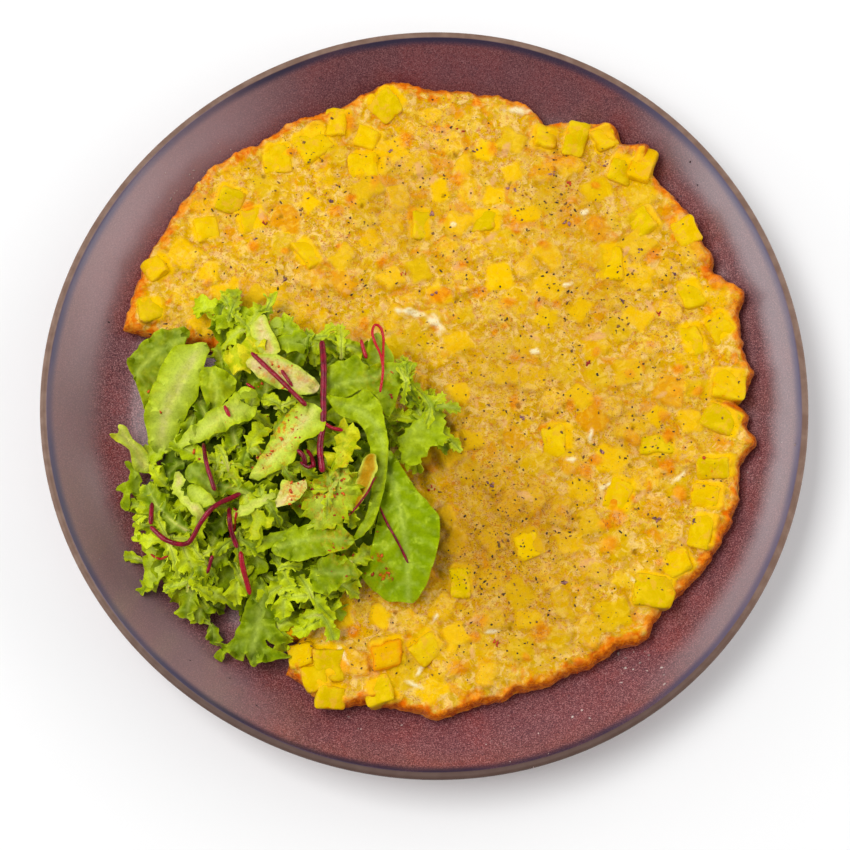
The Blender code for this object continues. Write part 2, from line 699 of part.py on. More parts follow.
def make_stem(tree, width, run):
    """A red stem: a strip with a square section that lies on the leaves."""
    half = width / 2.0
    rings = []
    points = [Vector(p) for p in run]
    for i, point in enumerate(points):
        ahead = points[min(i + 1, len(points) - 1)] - points[max(i - 1, 0)]
        side = Vector((-ahead.y, ahead.x)).normalized() * half
        level = level_at(tree, point.x, point.y)
        for across, up in ((-1, -0.5), (1, -0.5), (1, 1.0), (-1, 1.0)):
            rings.append((point.x + across * side.x, point.y + across * side.y, level + up * half * 1.4))
    faces = [(0, 1, 2), (0, 2, 3)]
    end = len(rings) - 4
    faces += [(end, end + 2, end + 1), (end, end + 3, end + 2)]
    for i in range(len(points) - 1):
        for j in range(4):
            a, b = 4 * i + j, 4 * i + (j + 1) % 4
            faces += [(a, b, b + 4), (a, b + 4, a + 4)]
    return make_object("stem", rings, faces)


def make_salad(plate, omelette):
    """The heap: core, leaves, sprigs and stems in one solid."""
    ground = support_tree([plate, omelette])
    core = make_core(ground)
    pieces = []
    for base, middle, tip, width, roll, ruffle in LEAVES:
        rows = 6 if math.dist(base, tip) > 22.0 else 4
        columns = 4 if width > 15 else 2
        widths = leaf_widths(width, rows)
        shape = leaf_solid(ground, base, middle, tip, widths, roll, ruffle, columns)
        pieces.append(make_object("leaf", *shape))
    pieces += make_sprigs(ground)
    heap = support_tree([core] + pieces)
    pieces += [make_stem(heap, width, run) for width, run in STEMS]
    fuse(core, pieces)
    core.data.materials.clear()
    core.data.materials.append(make_material("leaves", (0.22, 0.42, 0.04), 0.45))
    return core


def main():
    """Clears the scene and builds the three pieces."""
    for thing in list(bpy.data.objects):
        bpy.data.objects.remove(thing)
    plate = make_plate()
    omelette = make_omelette()
    make_salad(plate, omelette)


main()
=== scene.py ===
"""Looks of a spanish omelette with a heap of salad in its open slice, on a glazed coupe plate.

Lengths are in millimetres, in the frame's axes, and are turned into metres by MM as each mesh is
made: +X is right and +Y away from the viewer, and z is 0 on the surface the plate stands on.
"""

import math
import random

import bpy
import numpy as np
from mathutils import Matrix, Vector, noise
from mathutils.bvhtree import BVHTree
from mathutils.geometry import delaunay_2d_cdt


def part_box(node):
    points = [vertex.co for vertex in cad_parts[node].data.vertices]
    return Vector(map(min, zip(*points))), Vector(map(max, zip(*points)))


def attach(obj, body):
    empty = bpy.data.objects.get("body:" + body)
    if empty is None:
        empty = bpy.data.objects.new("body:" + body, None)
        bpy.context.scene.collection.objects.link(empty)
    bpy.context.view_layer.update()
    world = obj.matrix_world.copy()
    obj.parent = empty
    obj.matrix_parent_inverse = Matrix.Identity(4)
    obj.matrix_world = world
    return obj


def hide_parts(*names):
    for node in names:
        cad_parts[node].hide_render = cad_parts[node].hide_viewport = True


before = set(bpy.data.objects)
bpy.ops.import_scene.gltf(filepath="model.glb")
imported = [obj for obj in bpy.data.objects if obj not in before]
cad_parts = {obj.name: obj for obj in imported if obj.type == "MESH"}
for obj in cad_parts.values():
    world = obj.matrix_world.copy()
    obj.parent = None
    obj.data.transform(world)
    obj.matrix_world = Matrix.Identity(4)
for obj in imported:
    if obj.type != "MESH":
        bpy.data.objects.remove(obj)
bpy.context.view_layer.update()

MM = 0.001
GAP = 0.4
OILY_TINT = (1.0, 0.84, 0.0, 1.0)
LEAF_TINT = (0.9, 1.0, 0.12, 1.0)
STEM_TINT = (1.0, 0.4, 0.45, 1.0)

# Plate
PLATE_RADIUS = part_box("plate")[1].x / MM
PLATE_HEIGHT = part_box("plate")[1].z / MM
PLATE_SIDES = 288
WELL_RADIUS = 108.0
WELL_LEVEL = 7.5
RIM_INNER_RADIUS = 137.4
RIM_CURVE = 1.9
PLATE_THICKNESS = 4.5
FOOT_OUTER_RADIUS = 87.0
FOOT_INNER_RADIUS = 81.0
BASE_LEVEL = 3.0
HUB_RADIUS = 0.5
WALL_RADIUS = 137.5
WALL_SHIFT = 1.5
LIP_SWEEP = (115, -35)

# Waves in the plate's face: height, width
PLATE_WAVE = (0.12, 45.0)

# Corners of the foot ring: distance out from its outer radius or in from its inner one, level
FOOT_OUTER_CORNERS = [(1.4, BASE_LEVEL - 0.5), (0.4, 0.6), (-0.6, 0.0)]
FOOT_INNER_CORNERS = [(-0.6, 0.0), (0.3, 0.6), (1.2, BASE_LEVEL - 0.5), (4.0, BASE_LEVEL)]

# How far the rim is out of round, as it is turned by hand: waves round the rim, along x and along y
ROUNDNESS = [(1, 0.79, -0.09), (3, -1.10, -0.45)]

# Omelette
OMELETTE_CENTRE = (3.0, 4.0)
OMELETTE_RADIUS = 117.0
OMELETTE_LEAN = 2.0
LEAN_BEARING = 145.0
OMELETTE_THICKNESS = 12.6
EDGE_THICKNESS = 10.4
EDGE_ROUND = 6.0
SHOULDER_LEVEL = 6.0
RIM_LIFT = 0.8
EDGE_SHIFT = 2.2
SHIFT_BEARING = -63.0
SLICE_APEX = (-14.0, 4.0)
SLICE_BEARINGS = (169.0, 243.5)
EDGE_WAVE = 0.9
CUT_WAVE = 0.7
CUT_WAVE_LENGTH = 14.0
SHADE_PLAIN = 0.7
THICKEN_RUN = 60.0
COARSE_STEP = 5.2
FINE_STEP = 0.95
EGG_STEP = 0.72
CRAG = 1.5
CALM_RUN = 8.0

# Lumps of the upper face: height, width
SMALL_LUMPS = (0.9, 13.0)
BROAD_LUMPS = (0.8, 34.0)

# Crags along the edge: length, and depth as a share of CRAG
CRAGS = [(14.0, 1.0), (6.1, 0.9), (3.1, 0.6), (1.7, 0.3)]

# Curds of the upper face: height, width, seed
CURDS = [(0.45, 6.0, 30), (0.30, 3.0, 31), (0.16, 1.6, 32)]

# Rings down the side: share of the height, distance inwards
SIDE_RINGS = [(0.8, -0.35), (0.6, -0.3), (0.42, 0.1), (0.25, 0.7), (0.1, 1.7), (0.0, 3.0)]

# Small marks anywhere on the egg: number, half length, half width as a share of it
SMALL_PITS = (45, (0.7, 1.3), 0.7)
SMALL_FLAKES = (55, (1.0, 2.8), 0.38)
SMALL_TOASTS = (85, (1.6, 4.2), 0.7)

# Bumps and dents of the edge: bearing in degrees, depth, half width in degrees
EDGE_BUMPS = [
    (136, 2.3, 6.0), (123, -1.5, 3.0), (108, -1.8, 4.0), (98, 3.0, 5.0), (67, -4.0, 2.6), (56, 6.3, 3.6),
    (49, 6.5, 2.2), (29.5, -2.0, 1.8), (23, -2.6, 1.6), (17, 3.4, 2.4), (7, -1.2, 3.0), (3, 2.0, 1.2),
    (357, -4.4, 1.4), (350, 4.4, 1.8), (335, 2.4, 6.0), (326, 1.8, 5.0), (309, 2.2, 3.0), (291, -1.2, 8.0),
    (271, 3.8, 4.0), (252, 5.2, 3.6), (114, -1.6, 2.5), (69, -1.6, 2.0),
]

# Where the browned edge shows as a band: bearing and half width in degrees
CRUST_SECTORS = [
    (90, 15), (112, 4), (52, 5), (28, 9), (10, 8), (0, 4), (352, 6), (335, 4), (322, 7), (303, 10),
    (288, 6), (276, 8), (262, 7),
]
CRUST_WIDTH = 2.1

# Potato dice that stand out: x, y, side along, side across, turn in degrees, rise above the egg
KEY_DICE = [
    (57, 100, 8, 13, -15, 2.6), (67, 99, 8, 9, 25, 2.4), (45, 100, 9, 10, -12, 2.2),
    (82, 88, 8, 13, -20, 2.2), (74, 87, 9, 10, -15, 1.8), (82, 67, 10, 10, 30, 2.4),
    (98, 64, 9, 11, 25, 1.6), (70, 51, 10, 14, 0, 1.0), (99, 39, 8, 11, 25, 1.4),
    (109, 27, 9, 10, 35, 1.6), (99, 22, 8, 12, 15, 1.4), (111, 4, 12.5, 12, -5, 2.8),
    (109, -9, 13, 10, -25, 2.2), (107, -26, 12, 8, 0, 1.8), (103, -37, 10, 10, -5, 2.4),
    (101, -50, 8, 12.5, -10, 1.8), (82, -72, 14, 12.5, -10, 2.4), (92, -62, 10, 9, 25, 1.8),
    (37, -55, 9.5, 10, 20, 1.8), (13, -68, 8, 10.5, 0, 2.0), (71, -37, 9, 13, -20, 1.2),
    (49, -17, 9, 12.5, 0, 1.4), (85, -19, 12, 7, 5, 1.0), (-43, -94, 9, 9, 12, 2.0),
    (-34, -97, 11, 11, 0, 2.0), (-39, -103, 9, 10, 8, 2.2), (-34, -110, 10, 8, -5, 2.2),
    (-15, -108, 10, 10, 20, 2.2), (-13, -94, 11.5, 10, 12, 3.4), (0, -92, 10, 10, 40, 2.6),
    (-47, -85, 9, 9, 5, 2.0), (-42, 98, 13, 12.5, 35, 2.0), (-32, 106, 8, 10, 0, 1.8),
    (-21, 100, 9, 8, -25, 2.2), (-21, 90, 12, 10, 0, 1.4), (-73, 76, 10, 10, -20, 2.6),
    (-82, 64, 9, 9, 10, 1.8), (-44, 54, 7, 12, 35, 1.6), (-2, 66, 7, 12, 0, 1.2),
    (23, 67, 9.5, 8, 0, 1.6), (-99, 49, 9, 9, 30, 1.6), (-65, 68, 10, 9, 15, 1.0),
]

# Parts of the edge where the egg covers the dice: bearing and half width in degrees
COVERED_SECTORS = [(80, 17), (289, 26)]

DICE_SPACING = 11.0
RIM_DICE_STEP = 11.5
RIM_DICE_INSET = (6.5, 11.0)
DICE_SIDE = (8.5, 11.5)
DICE_SEED = 11
DICE_UNEVEN = 0.5
DICE_TIP = 1.6
DICE_SKEW = (-0.10, 0.14)
DICE_TAPER = (-0.3, -0.04)
DICE_COVER = (0.3, 0.9)
DICE_RISE = (1.0, 2.0)
DICE_TURN = (-45.0, 45.0)
DICE_EDGE_GAP = 5.0
DICE_ROUND = 1.6
DICE_REACH = 16.0
SUNK_DICE_TRIES = 7000
SUNK_DICE_SPACING = 9.4
SUNK_EDGE_GAP = 5.5
SUNK_REACH = 14.0
SUNK_SIDE = (7.0, 11.5)
SUNK_RISE = (0.3, 2.0)
SUNK_CLEAR = (0.1, 1.1)
MARK_INSET = 8.0

# Patches of set egg white: x, y, half length, half width, turn in degrees
WHITE_PATCHES = [
    (-5.1, 31.3, 6.0, 1.4, -8), (4, 27, 4.6, 2.4, -50), (35.3, 110.6, 4.8, 1.6, 5), (10.2, 64.8, 1.5, 1, 0),
    (59.6, 70.2, 2, 1.2, 30), (-29.5, -94.9, 4.0, 0.8, -60), (-4, -105.8, 4.0, 1.0, -20),
    (65.9, -33.9, 4.5, 0.9, 20), (40.5, 16.3, 2, 1, 0), (92, -30.8, 4.6, 1.0, 40), (53.1, -24.6, 2, 0.8, 0),
    (3.9, -81.8, 3, 0.7, 50), (-2, -100.8, 3.4, 0.8, 60), (75.2, -68.7, 4.0, 0.8, -50),
    (23.6, -86.9, 3.0, 0.7, 10), (60.3, -15.2, 3.0, 0.8, 80), (53, 42, 2.6, 0.8, 20),
]

# Toasted spots, in the same form
TOASTS = [
    (62.5, -2.7, 3.0, 2.6, 0), (68.9, -39.1, 4.0, 3.0, 60), (93.1, 10, 3.4, 2.4, 0),
    (99.9, 1.5, 3.0, 2.0, 30), (74.8, 7.9, 2.6, 2.0, 0), (30.5, 34.5, 4.0, 2.4, 20),
    (63.7, 65.8, 4.4, 3.0, 40), (90.9, 87.8, 2.6, 2.0, 0), (54.8, 90, 3.2, 2.6, 0),
    (41.3, -86.9, 5.0, 3.4, 30), (19.7, -82.8, 4.0, 3.0, -20), (-25.7, -86.9, 4.0, 3.0, 0),
    (5, 37.7, 5.4, 3.4, 10), (-49.8, 94.4, 3.0, 2.0, 0), (40.8, -45.3, 4.6, 1.8, 80),
    (66.5, -55.5, 4.2, 3.2, 30), (17.7, -88.9, 2.8, 2.4, 0), (62.1, -24.6, 3.2, 2.4, 0),
    (87.6, -7.9, 3.0, 2.4, 0), (11.7, -99.8, 4.4, 3.2, 10), (33.9, 64.8, 4.2, 2.4, 0),
    (12.3, 83.4, 4.2, 3.2, 0), (55.4, 65.8, 3.2, 2.2, 30), (92.4, 65.8, 4.2, 2.4, 110),
    (48.6, 90, 5.0, 3.4, 20), (109.3, 45.2, 5.0, 3.0, 100), (12, 84, 3.4, 2.0, 0), (48, 89, 2.4, 1.8, 0),
    (56, 66, 3.4, 2.0, 20), (34, 63, 2.4, 1.8, 0), (92, 1, 3.4, 2.4, 30), (33, 14, 2.6, 1.8, 0),
    (63, 16, 2.4, 1.8, 60), (93, 61, 3.0, 1.8, 70), (91, 81, 3.0, 2.2, 120), (96, 71, 3.0, 2.0, 110),
    (71, 104, 3.0, 1.6, -40), (108, 42, 3.6, 2.2, 150), (115, 34, 3.0, 2.0, 100), (114, 14, 3.4, 1.6, 90),
    (7, 39, 3.4, 2.4, 30), (-32, 57, 1.8, 1.4, 0), (-52, 55, 2.0, 1.6, 0), (-78, 34, 3.4, 2.2, 20),
    (-16, 51, 3.4, 2.0, 60), (65, -48, 3.0, 2.4, 0),
]

# Pale flakes on the egg, in the same form
FLAKES = [
    (0.5, 97, 2.2, 1.2, 70), (-2, 86, 3.6, 1.5, 100), (3, 83, 2.4, 1.2, 60), (98, 66, 5.0, 3.2, -50),
    (24, 60, 3.0, 1.2, 30), (63, 22, 4.0, 1.6, 10), (36, -38, 3.6, 1.4, 150), (58, -62, 3.4, 1.6, 20),
]

# Salad
CORE_CENTRE = (-55.0, -29.0)
CORE_RADII = (45.0, 50.0)
CORE_TOP = 38.0
CORE_BOTTOM = 8.1
CORE_INSET = 2.0
CORE_SIDES = 120
LEAF_STEP = 1.1
LEAF_SKIN = 0.5
LEAF_GAP = 0.8
SPRIG_SKIN = 0.4
SPRIG_GAP = 0.7
VEIN_SPACING = 5.6
RUFFLE_LENGTH = 8.5
SPRIG_STEP = 0.65
SPRIG_COLUMNS = (-1.0, -0.86, -0.68, -0.45, -0.22, 0.0, 0.22, 0.45, 0.68, 0.86, 1.0)
SALAD_TOP = 46.6
SPRIG_TONES = (0.1, 1.1)
FILL_TRIES = 1500
FILL_SPACING = 7.0
FILL_INSET = 6.0
FILL_WIDTH = (4.5, 7.5)
FILL_LENGTH = (12.0, 19.0)
FILL_TONES = (0.0, 0.9)
STEM_STEP = 0.9
LEAF_VALUES = ("vein", "tone", "pale", "warm", "side", "spice")
SALAD_SEED = 5

# Leaves: outline in plan, rib as base, middle and tip (x, y, z), roll in degrees, ruffle, teeth,
# then colour: tone from deep to light green, pale from green to cream, warm from green to yellow
LEAVES = [
    ([(-109, 13), (-100, 21), (-94, 23), (-86, 22), (-88, 15), (-94, 6), (-101, -6), (-104, -1),
      (-107, 7)],
     ((-85, 19, 30), (-98, 14, 27), (-108, 5, 18)), 12, 1.8, 0.2, 0.22, 0.03, 0.10),
    ([(-79, 16), (-90, 14), (-95, 6), (-101, -8), (-101, -14), (-99, -21), (-92, -21), (-88, -13),
      (-82, -3), (-80, 6)],
     ((-79, 17, 31), (-90, -2, 34), (-97, -20, 19)), -12, 1.5, 0.15, 1.5, 0.6, 0.05),
    ([(-81, 5), (-77, 7), (-68, 2), (-70, -4), (-76, -9), (-80, -3)],
     ((-80, 8, 34), (-75, 0, 35), (-77, -9, 30)), 10, 1.2, 0.15, 0.44, 0.0, 0.15),
    ([(-90, -24), (-88, -19), (-84, -16), (-76, -11), (-70, -8), (-67, -4), (-63, -3), (-60, -5), (-66, -8),
      (-60, -10), (-61, -14), (-66, -16), (-71, -18), (-77, -20), (-86, -22)],
     ((-92, -23, 23), (-76, -15, 40), (-60, -7, 42)), 0, 1.8, 0.45, 0.80, 0.55, 0.05),
    ([(-58, 26), (-56, 21), (-53, 15), (-52, 11), (-56, 9), (-60, 12), (-63, 20), (-61, 24)],
     ((-55, 9, 39), (-58, 17, 39), (-61, 28, 34)), -15, 0.9, 0.1, 1.3, 0.8, 0.5),
    ([(-72, 10), (-71, 14), (-66, 14), (-60, 17), (-57, 14), (-60, 8), (-64, 4), (-69, 5)],
     ((-57, 12, 39), (-66, 11, 38), (-74, 10, 33)), 10, 2.0, 2.0, 0.90, 0.10, 0.85),
    ([(-64, 7), (-58, 10), (-52, 9), (-44, 4), (-38, -1), (-38, -4), (-42, -6), (-50, -4), (-58, 0)],
     ((-66, 6, 40), (-52, 3, 43), (-38, -4, 44)), -10, 1.0, 0.15, 0.90, 1.0, 0.0),
    ([(-37, 3), (-29, 7), (-25, 9), (-21, 6), (-14, 7), (-3, 9), (-6, 4), (-9, -2), (-13, -12), (-17, -6),
      (-21, -3), (-28, -6), (-35, -5)],
     ((-37, -2, 42), (-21, 1, 41), (-3, 9, 33)), 12, 1.5, 0.15, 0.44, 0.0, 0.0),
    ([(-21, 8), (-20, 16), (-17, 20), (-14, 15), (-11, 10), (-13, 7)],
     ((-17, 8, 36), (-17, 14, 36), (-17, 21, 33)), 20, 0.6, 0.2, 0.45, 0.05, 0.0),
    ([(-35, -6), (-28, -7), (-21, -4), (-16, -9), (-14, -17), (-13, -24), (-14, -36), (-16, -45),
      (-19, -52), (-26, -57), (-24, -53), (-21, -48), (-19, -40), (-19, -31), (-20, -22), (-24, -15),
      (-30, -13)],
     ((-35, -8, 43), (-15, -22, 42), (-24, -56, 35)), 14, 1.4, 0.15, 0.58, 0.16, 0.0),
    ([(-34, -31), (-31, -22), (-29, -17), (-24, -18), (-24, -24), (-27, -31), (-30, -33)],
     ((-31, -33, 43), (-29, -25, 44), (-28, -17, 43)), 0, 2.0, 2.0, 0.90, 0.20, 0.6),
    ([(-62, -35), (-57, -26), (-54, -21), (-48, -12), (-43, -8), (-37, -11), (-35, -17), (-37, -20),
      (-44, -24), (-46, -30), (-50, -32), (-56, -35)],
     ((-61, -34, 40), (-49, -22, 45), (-38, -9, 44)), -8, 1.7, 0.3, 0.90, 0.62, 0.06),
    ([(-53, -46), (-51, -41), (-50, -37), (-46, -38), (-42, -37), (-42, -41), (-46, -45)],
     ((-54, -46, 43), (-47, -41, 46), (-42, -38, 45)), 0, 0.4, 0.2, 0.90, 1.0, 0.0),
    ([(-40, -54), (-42, -48), (-44, -42), (-39, -36), (-31, -31), (-26, -33), (-22, -38), (-24, -44),
      (-29, -51), (-35, -54)],
     ((-40, -53, 39), (-35, -43, 42), (-28, -32, 42)), 0, 2.2, 1.8, 0.75, 0.48, 0.10),
    ([(-27, -47), (-25, -40), (-23, -32), (-21, -28), (-18, -27), (-17, -33), (-20, -40), (-23, -45)],
     ((-19, -27, 43), (-21, -36, 43), (-26, -47, 40)), 25, 0.7, 0.3, 0.10, 0.90, 1.0),
    ([(-54, -60), (-48, -54), (-38, -51), (-31, -51), (-25, -57), (-30, -61), (-37, -63), (-44, -65),
      (-51, -63)],
     ((-55, -61, 37), (-40, -57, 40), (-25, -57, 36)), -10, 1.4, 0.2, 0.46, 0.06, 0.0),
    ([(-65, -62), (-64, -58), (-59, -56), (-51, -54), (-45, -52), (-46, -55), (-51, -58), (-58, -61)],
     ((-66, -60, 35), (-56, -57, 38), (-44, -53, 39)), 15, 0.8, 0.5, 0.60, 0.20, 0.0),
    ([(-60, -69), (-64, -79), (-67, -86), (-71, -91), (-76, -90), (-73, -92), (-76, -95), (-73, -97),
      (-71, -94), (-68, -96), (-65, -97), (-64, -95), (-62, -99), (-58, -98), (-48, -96), (-55, -93),
      (-57, -90), (-54, -92), (-49, -90), (-53, -86), (-53, -81), (-55, -76), (-57, -70)],
     ((-58, -68, 29), (-59, -82, 24), (-63, -98, 17)), 10, 2.0, 0.25, 0.26, 0.22, 0.0),
    ([(-72, -64), (-67, -63), (-64, -68), (-65, -76), (-68, -79), (-72, -76), (-75, -69)],
     ((-68, -64, 25), (-69, -72, 21), (-68, -79, 16)), -15, 0.6, 0.2, 0.35, 0.0, 0.0),
    ([(-53, -68), (-49, -68), (-47, -76), (-49, -83), (-53, -84), (-55, -76)],
     ((-51, -68, 28), (-51, -76, 26), (-51, -84, 24)), 15, 0.6, 0.4, 0.10, 0.0, 0.0),
    ([(-115, -15), (-112, -14), (-112, -11), (-109, -12), (-107, -16), (-104, -18), (-101, -22),
      (-101, -27), (-105, -28), (-107, -25), (-108, -20), (-111, -18)],
     ((-102, -27, 15), (-106, -20, 16), (-112, -12, 19)), 10, 0.8, 0.15, 1.3, 0.7, 0.6),
    ([(-110, -24), (-107, -25), (-104, -29), (-104, -33), (-101, -36), (-103, -38), (-107, -36),
      (-108, -42), (-111, -40), (-110, -36), (-113, -34), (-110, -32), (-108, -31), (-108, -28)],
     ((-109, -24, 15), (-105, -32, 15), (-109, -41, 15)), 0, 1.2, 0.6, 0.45, 0.10, 0.0),
    ([(-56, 19), (-56, 24), (-53, 26), (-51, 23), (-52, 19)],
     ((-54, 18, 34), (-54, 22, 34), (-53, 27, 32)), 0, 0.5, 0.3, 0.80, 0.50, 0.0),
    ([(-9, -20), (-4, -14), (1, -10), (5, -8), (7, -12), (7, -17), (9, -20), (5, -22), (1, -24), (-3, -29),
      (-7, -30)],
     ((-9, -21, 32), (-2, -14, 35), (6, -9, 32)), -12, 1.0, 1.0, 0.65, 0.25, 0.0),
    ([(-53, 16), (-48, 18), (-44, 19), (-42, 16), (-43, 12), (-47, 11), (-51, 12)],
     ((-53, 15, 38), (-48, 15, 40), (-42, 15, 37)), 10, 0.8, 1.2, 0.50, 0.25, 0.0),
    ([(-72, 38), (-67, 37), (-69, 32), (-64, 29), (-62, 26), (-69, 23), (-75, 21), (-76, 24), (-79, 28),
      (-74, 27), (-73, 31)],
     ((-63, 24, 32), (-69, 28, 32), (-70, 38, 27)), 0, 1.2, 0.9, 0.55, 0.10, 0.10),
    ([(-85, -32), (-82, -29), (-76, -31), (-74, -37), (-73, -41), (-76, -42), (-80, -38), (-84, -36)],
     ((-84, -31, 37), (-79, -35, 40), (-74, -41, 39)), 5, 1.0, 0.3, 0.20, 0.0, 0.0),
    ([(-84, -38), (-80, -38), (-75, -42), (-74, -45), (-80, -46), (-83, -43)],
     ((-84, -39, 39), (-79, -42, 42), (-74, -45, 41)), 0, 0.7, 0.3, 0.90, 0.50, 0.0),
    ([(-88, -34), (-85, -35), (-85, -38), (-86, -40), (-82, -44), (-79, -45), (-77, -49), (-80, -50),
      (-85, -45), (-89, -40)],
     ((-87, -34, 40), (-84, -42, 42), (-78, -50, 41)), 0, 0.9, 0.7, 1.0, 0.75, 0.25),
    ([(-60, -46), (-57, -48), (-53, -51), (-56, -54), (-57, -52), (-58, -57), (-61, -58), (-61, -52)],
     ((-60, -46, 43), (-59, -51, 44), (-60, -58, 43)), 0, 0.9, 1.0, 1.1, 0.35, 0.35),
    ([(-67, -48), (-60, -44), (-54, -41), (-54, -44), (-60, -48), (-65, -50)],
     ((-67, -49, 43), (-61, -46, 45), (-54, -43, 44)), 0, 0.6, 1.0, 0.9, 0.70, 0.10),
    ([(-40, -66), (-33, -62), (-27, -63), (-24, -68), (-29, -72), (-35, -76), (-40, -73)],
     ((-41, -67, 34), (-33, -68, 36), (-25, -68, 33)), 5, 1.6, 0.8, 0.38, 0.06, 0.0),
    ([(-102, -54), (-95, -52), (-90, -58), (-89, -66), (-94, -68), (-98, -72), (-101, -66), (-100, -60)],
     ((-95, -51, 27), (-95, -60, 26), (-97, -72, 18)), 5, 1.6, 1.1, 0.80, 0.45, 0.05),
]

# The broad chard leaf, in the same form
CHARD_LEAF = (
    [(-13, -24), (-9, -29), (-4, -37), (2, -44), (5, -48), (5, -56), (3, -64), (0, -72), (-4, -77), (-9, -77),
     (-14, -76), (-22, -69), (-23, -65), (-20, -62), (-18, -54), (-16, -44), (-15, -33)],
    ((-15, -25, 34), (-8, -50, 34), (-6, -77, 25)), 8, 1.2, 0.05, 0.52, 0.0, 0.0)

# Clumps of curly leaf: centre (x, y, z), radius, number, half width of a blade
CLUMPS = [
    (-74, 30, 28, 10, 4, 4.6), (-64, 22, 32, 10, 3, 4.2), (-43, 15, 36, 12, 5, 4.6),
    (-30, 14, 34, 10, 4, 4.0), (0, -12, 30, 14, 6, 4.4), (-8, -1, 32, 10, 3, 4.2),
    (-6, -22, 28, 10, 4, 4.0), (-88, -52, 30, 20, 8, 5.8), (-80, -44, 32, 15, 4, 5.2),
    (-94, -34, 24, 10, 4, 4.2), (-96, -50, 21, 10, 4, 4.2), (-92, -65, 19, 12, 5, 4.8),
    (-82, -70, 23, 13, 4, 4.6), (-102, -61, 14, 7, 2, 3.0), (-74, -28, 35, 12, 3, 4.4),
    (-64, -40, 40, 12, 4, 4.4), (-62, -24, 41, 10, 3, 4.0), (-63, -8, 34, 9, 3, 3.6),
    (-58, -50, 38, 12, 4, 4.4), (-48, -72, 31, 12, 5, 4.6), (-36, -82, 26, 11, 5, 4.4),
    (-34, -70, 31, 10, 4, 4.0), (-26, -64, 31, 9, 3, 3.6), (-80, -76, 17, 9, 3, 3.8),
    (-77, -84, 13, 7, 2, 3.0), (-102, -41, 15, 7, 2, 3.0), (-26, -44, 40, 7, 2, 3.6),
    (-66, -68, 27, 10, 4, 4.2), (-57, 31, 29, 7, 2, 3.0), (-84, -12, 26, 9, 3, 3.8),
    (-44, -30, 40, 9, 3, 4.0), (-30, -20, 38, 8, 2, 3.4), (-52, -86, 20, 10, 3, 4.0),
    (-91, -56, 33, 12, 6, 2.7), (-80, -62, 31, 11, 5, 2.6), (-96, -46, 28, 9, 4, 2.4),
    (-70, -30, 39, 9, 4, 2.4), (-84, -70, 26, 10, 5, 2.6), (2, -8, 35, 10, 5, 2.6), (-7, 1, 35, 9, 4, 2.4),
    (-56, -44, 42, 8, 4, 2.3), (-40, -76, 33, 10, 5, 2.6), (-66, -56, 36, 9, 4, 2.4),
    (-50, -32, 42, 6, 3, 2.2), (-38, 17, 37, 9, 4, 2.3), (-70, 27, 34, 9, 4, 2.4), (-52, 14, 22, 8, 3, 3.8),
    (-38, 15, 22, 8, 3, 3.8), (-24, 12, 21, 7, 3, 3.6), (-65, 15, 22, 7, 3, 3.6), (-10, 4, 22, 7, 3, 3.6),
    (-51, -9, 38, 7, 3, 2.6), (-50, -66, 34, 8, 3, 2.6), (-33, -40, 43, 9, 5, 2.4),
]

# Red stems: width, lightness, then the points of the run in plan
STEMS = [
    (1.7, 0.15, [(-62, 10), (-57, 5), (-50, -2), (-42, -10)]),
    (2.3, 0.0, [(-37, 15), (-36, 5), (-36, -6), (-36, -16), (-37, -25), (-36, -34)]),
    (1.4, 0.4, [(-36, -16), (-33, -18), (-29, -19)]),
    (1.4, 0.7, [(-23, 16), (-22, 12), (-21, 9)]),
    (1.0, 0.9, [(-15, 4), (-15, 12), (-15, 17), (-16, 21), (-18, 22), (-19, 19), (-18, 15), (-16, 10),
                (-15, 4), (-16, -4)]),
    (1.7, 0.0, [(-45, -26), (-43, -28), (-42, -31)]),
    (1.5, 0.1, [(-42, -25), (-40, -28), (-39, -32)]),
    (1.4, 0.0, [(-44, -30), (-41, -32), (-39, -31)]),
    (1.8, 0.1, [(-97, -43), (-97, -51)]),
    (1.8, 0.1, [(-97, -52), (-91, -57), (-84, -58), (-79, -52), (-74, -46), (-65, -41)]),
    (1.6, 0.0, [(-79, -22), (-77, -31), (-74, -40)]),
    (1.8, 0.0, [(-69, -46), (-68, -54), (-66, -60)]),
    (1.9, 0.5, [(-65, -61), (-64, -67), (-62, -75)]),
    (0.8, 0.9, [(-70, -54), (-67, -51), (-66, -47), (-68, -45)]),
    (1.6, 0.5, [(-71, -10), (-70, -12), (-69, -14)]),
    (1.2, 0.5, [(-64, 0), (-61, -2)]),
    (0.9, 0.7, [(-98, -60), (-95, -62), (-91, -62)]),
    (1.4, 0.0, [(-77, -68), (-76, -65), (-75, -62)]),
    (1.3, 0.2, [(-47, -3), (-49, 0), (-51, 3)]),
    (0.8, 0.1, [(-17, -35), (-21, -42), (-26, -48)]),
    (0.9, 0.0, [(-16, -45), (-13, -51), (-9, -58), (-6, -64)]),
]

# Small things scattered on the egg and the plate
PEPPER_SEED = 17
PEPPER_COUNT = 3500
PEPPER_SIZE = (0.26, 1.35)
PEPPER_CLUSTERED = 0.3
PEPPER_INSET = 5.0
BIT_COUNT = 3
BIT_SPREAD = 0.7
BIT_SIZE = (0.9, 1.9)
CRUMB_SIZE = (0.4, 1.0)

# Ground pepper on the egg, where it is thicker: centre, spread
PEPPER_CLUSTERS = [
    (45, -45, 9), (26, -46, 14), (14, -62, 10), (16, -28, 10), (30, 10, 12), (60, 40, 12), (-10, 70, 12),
    (50, 75, 10), (75, -10, 12), (36, -80, 14),
]

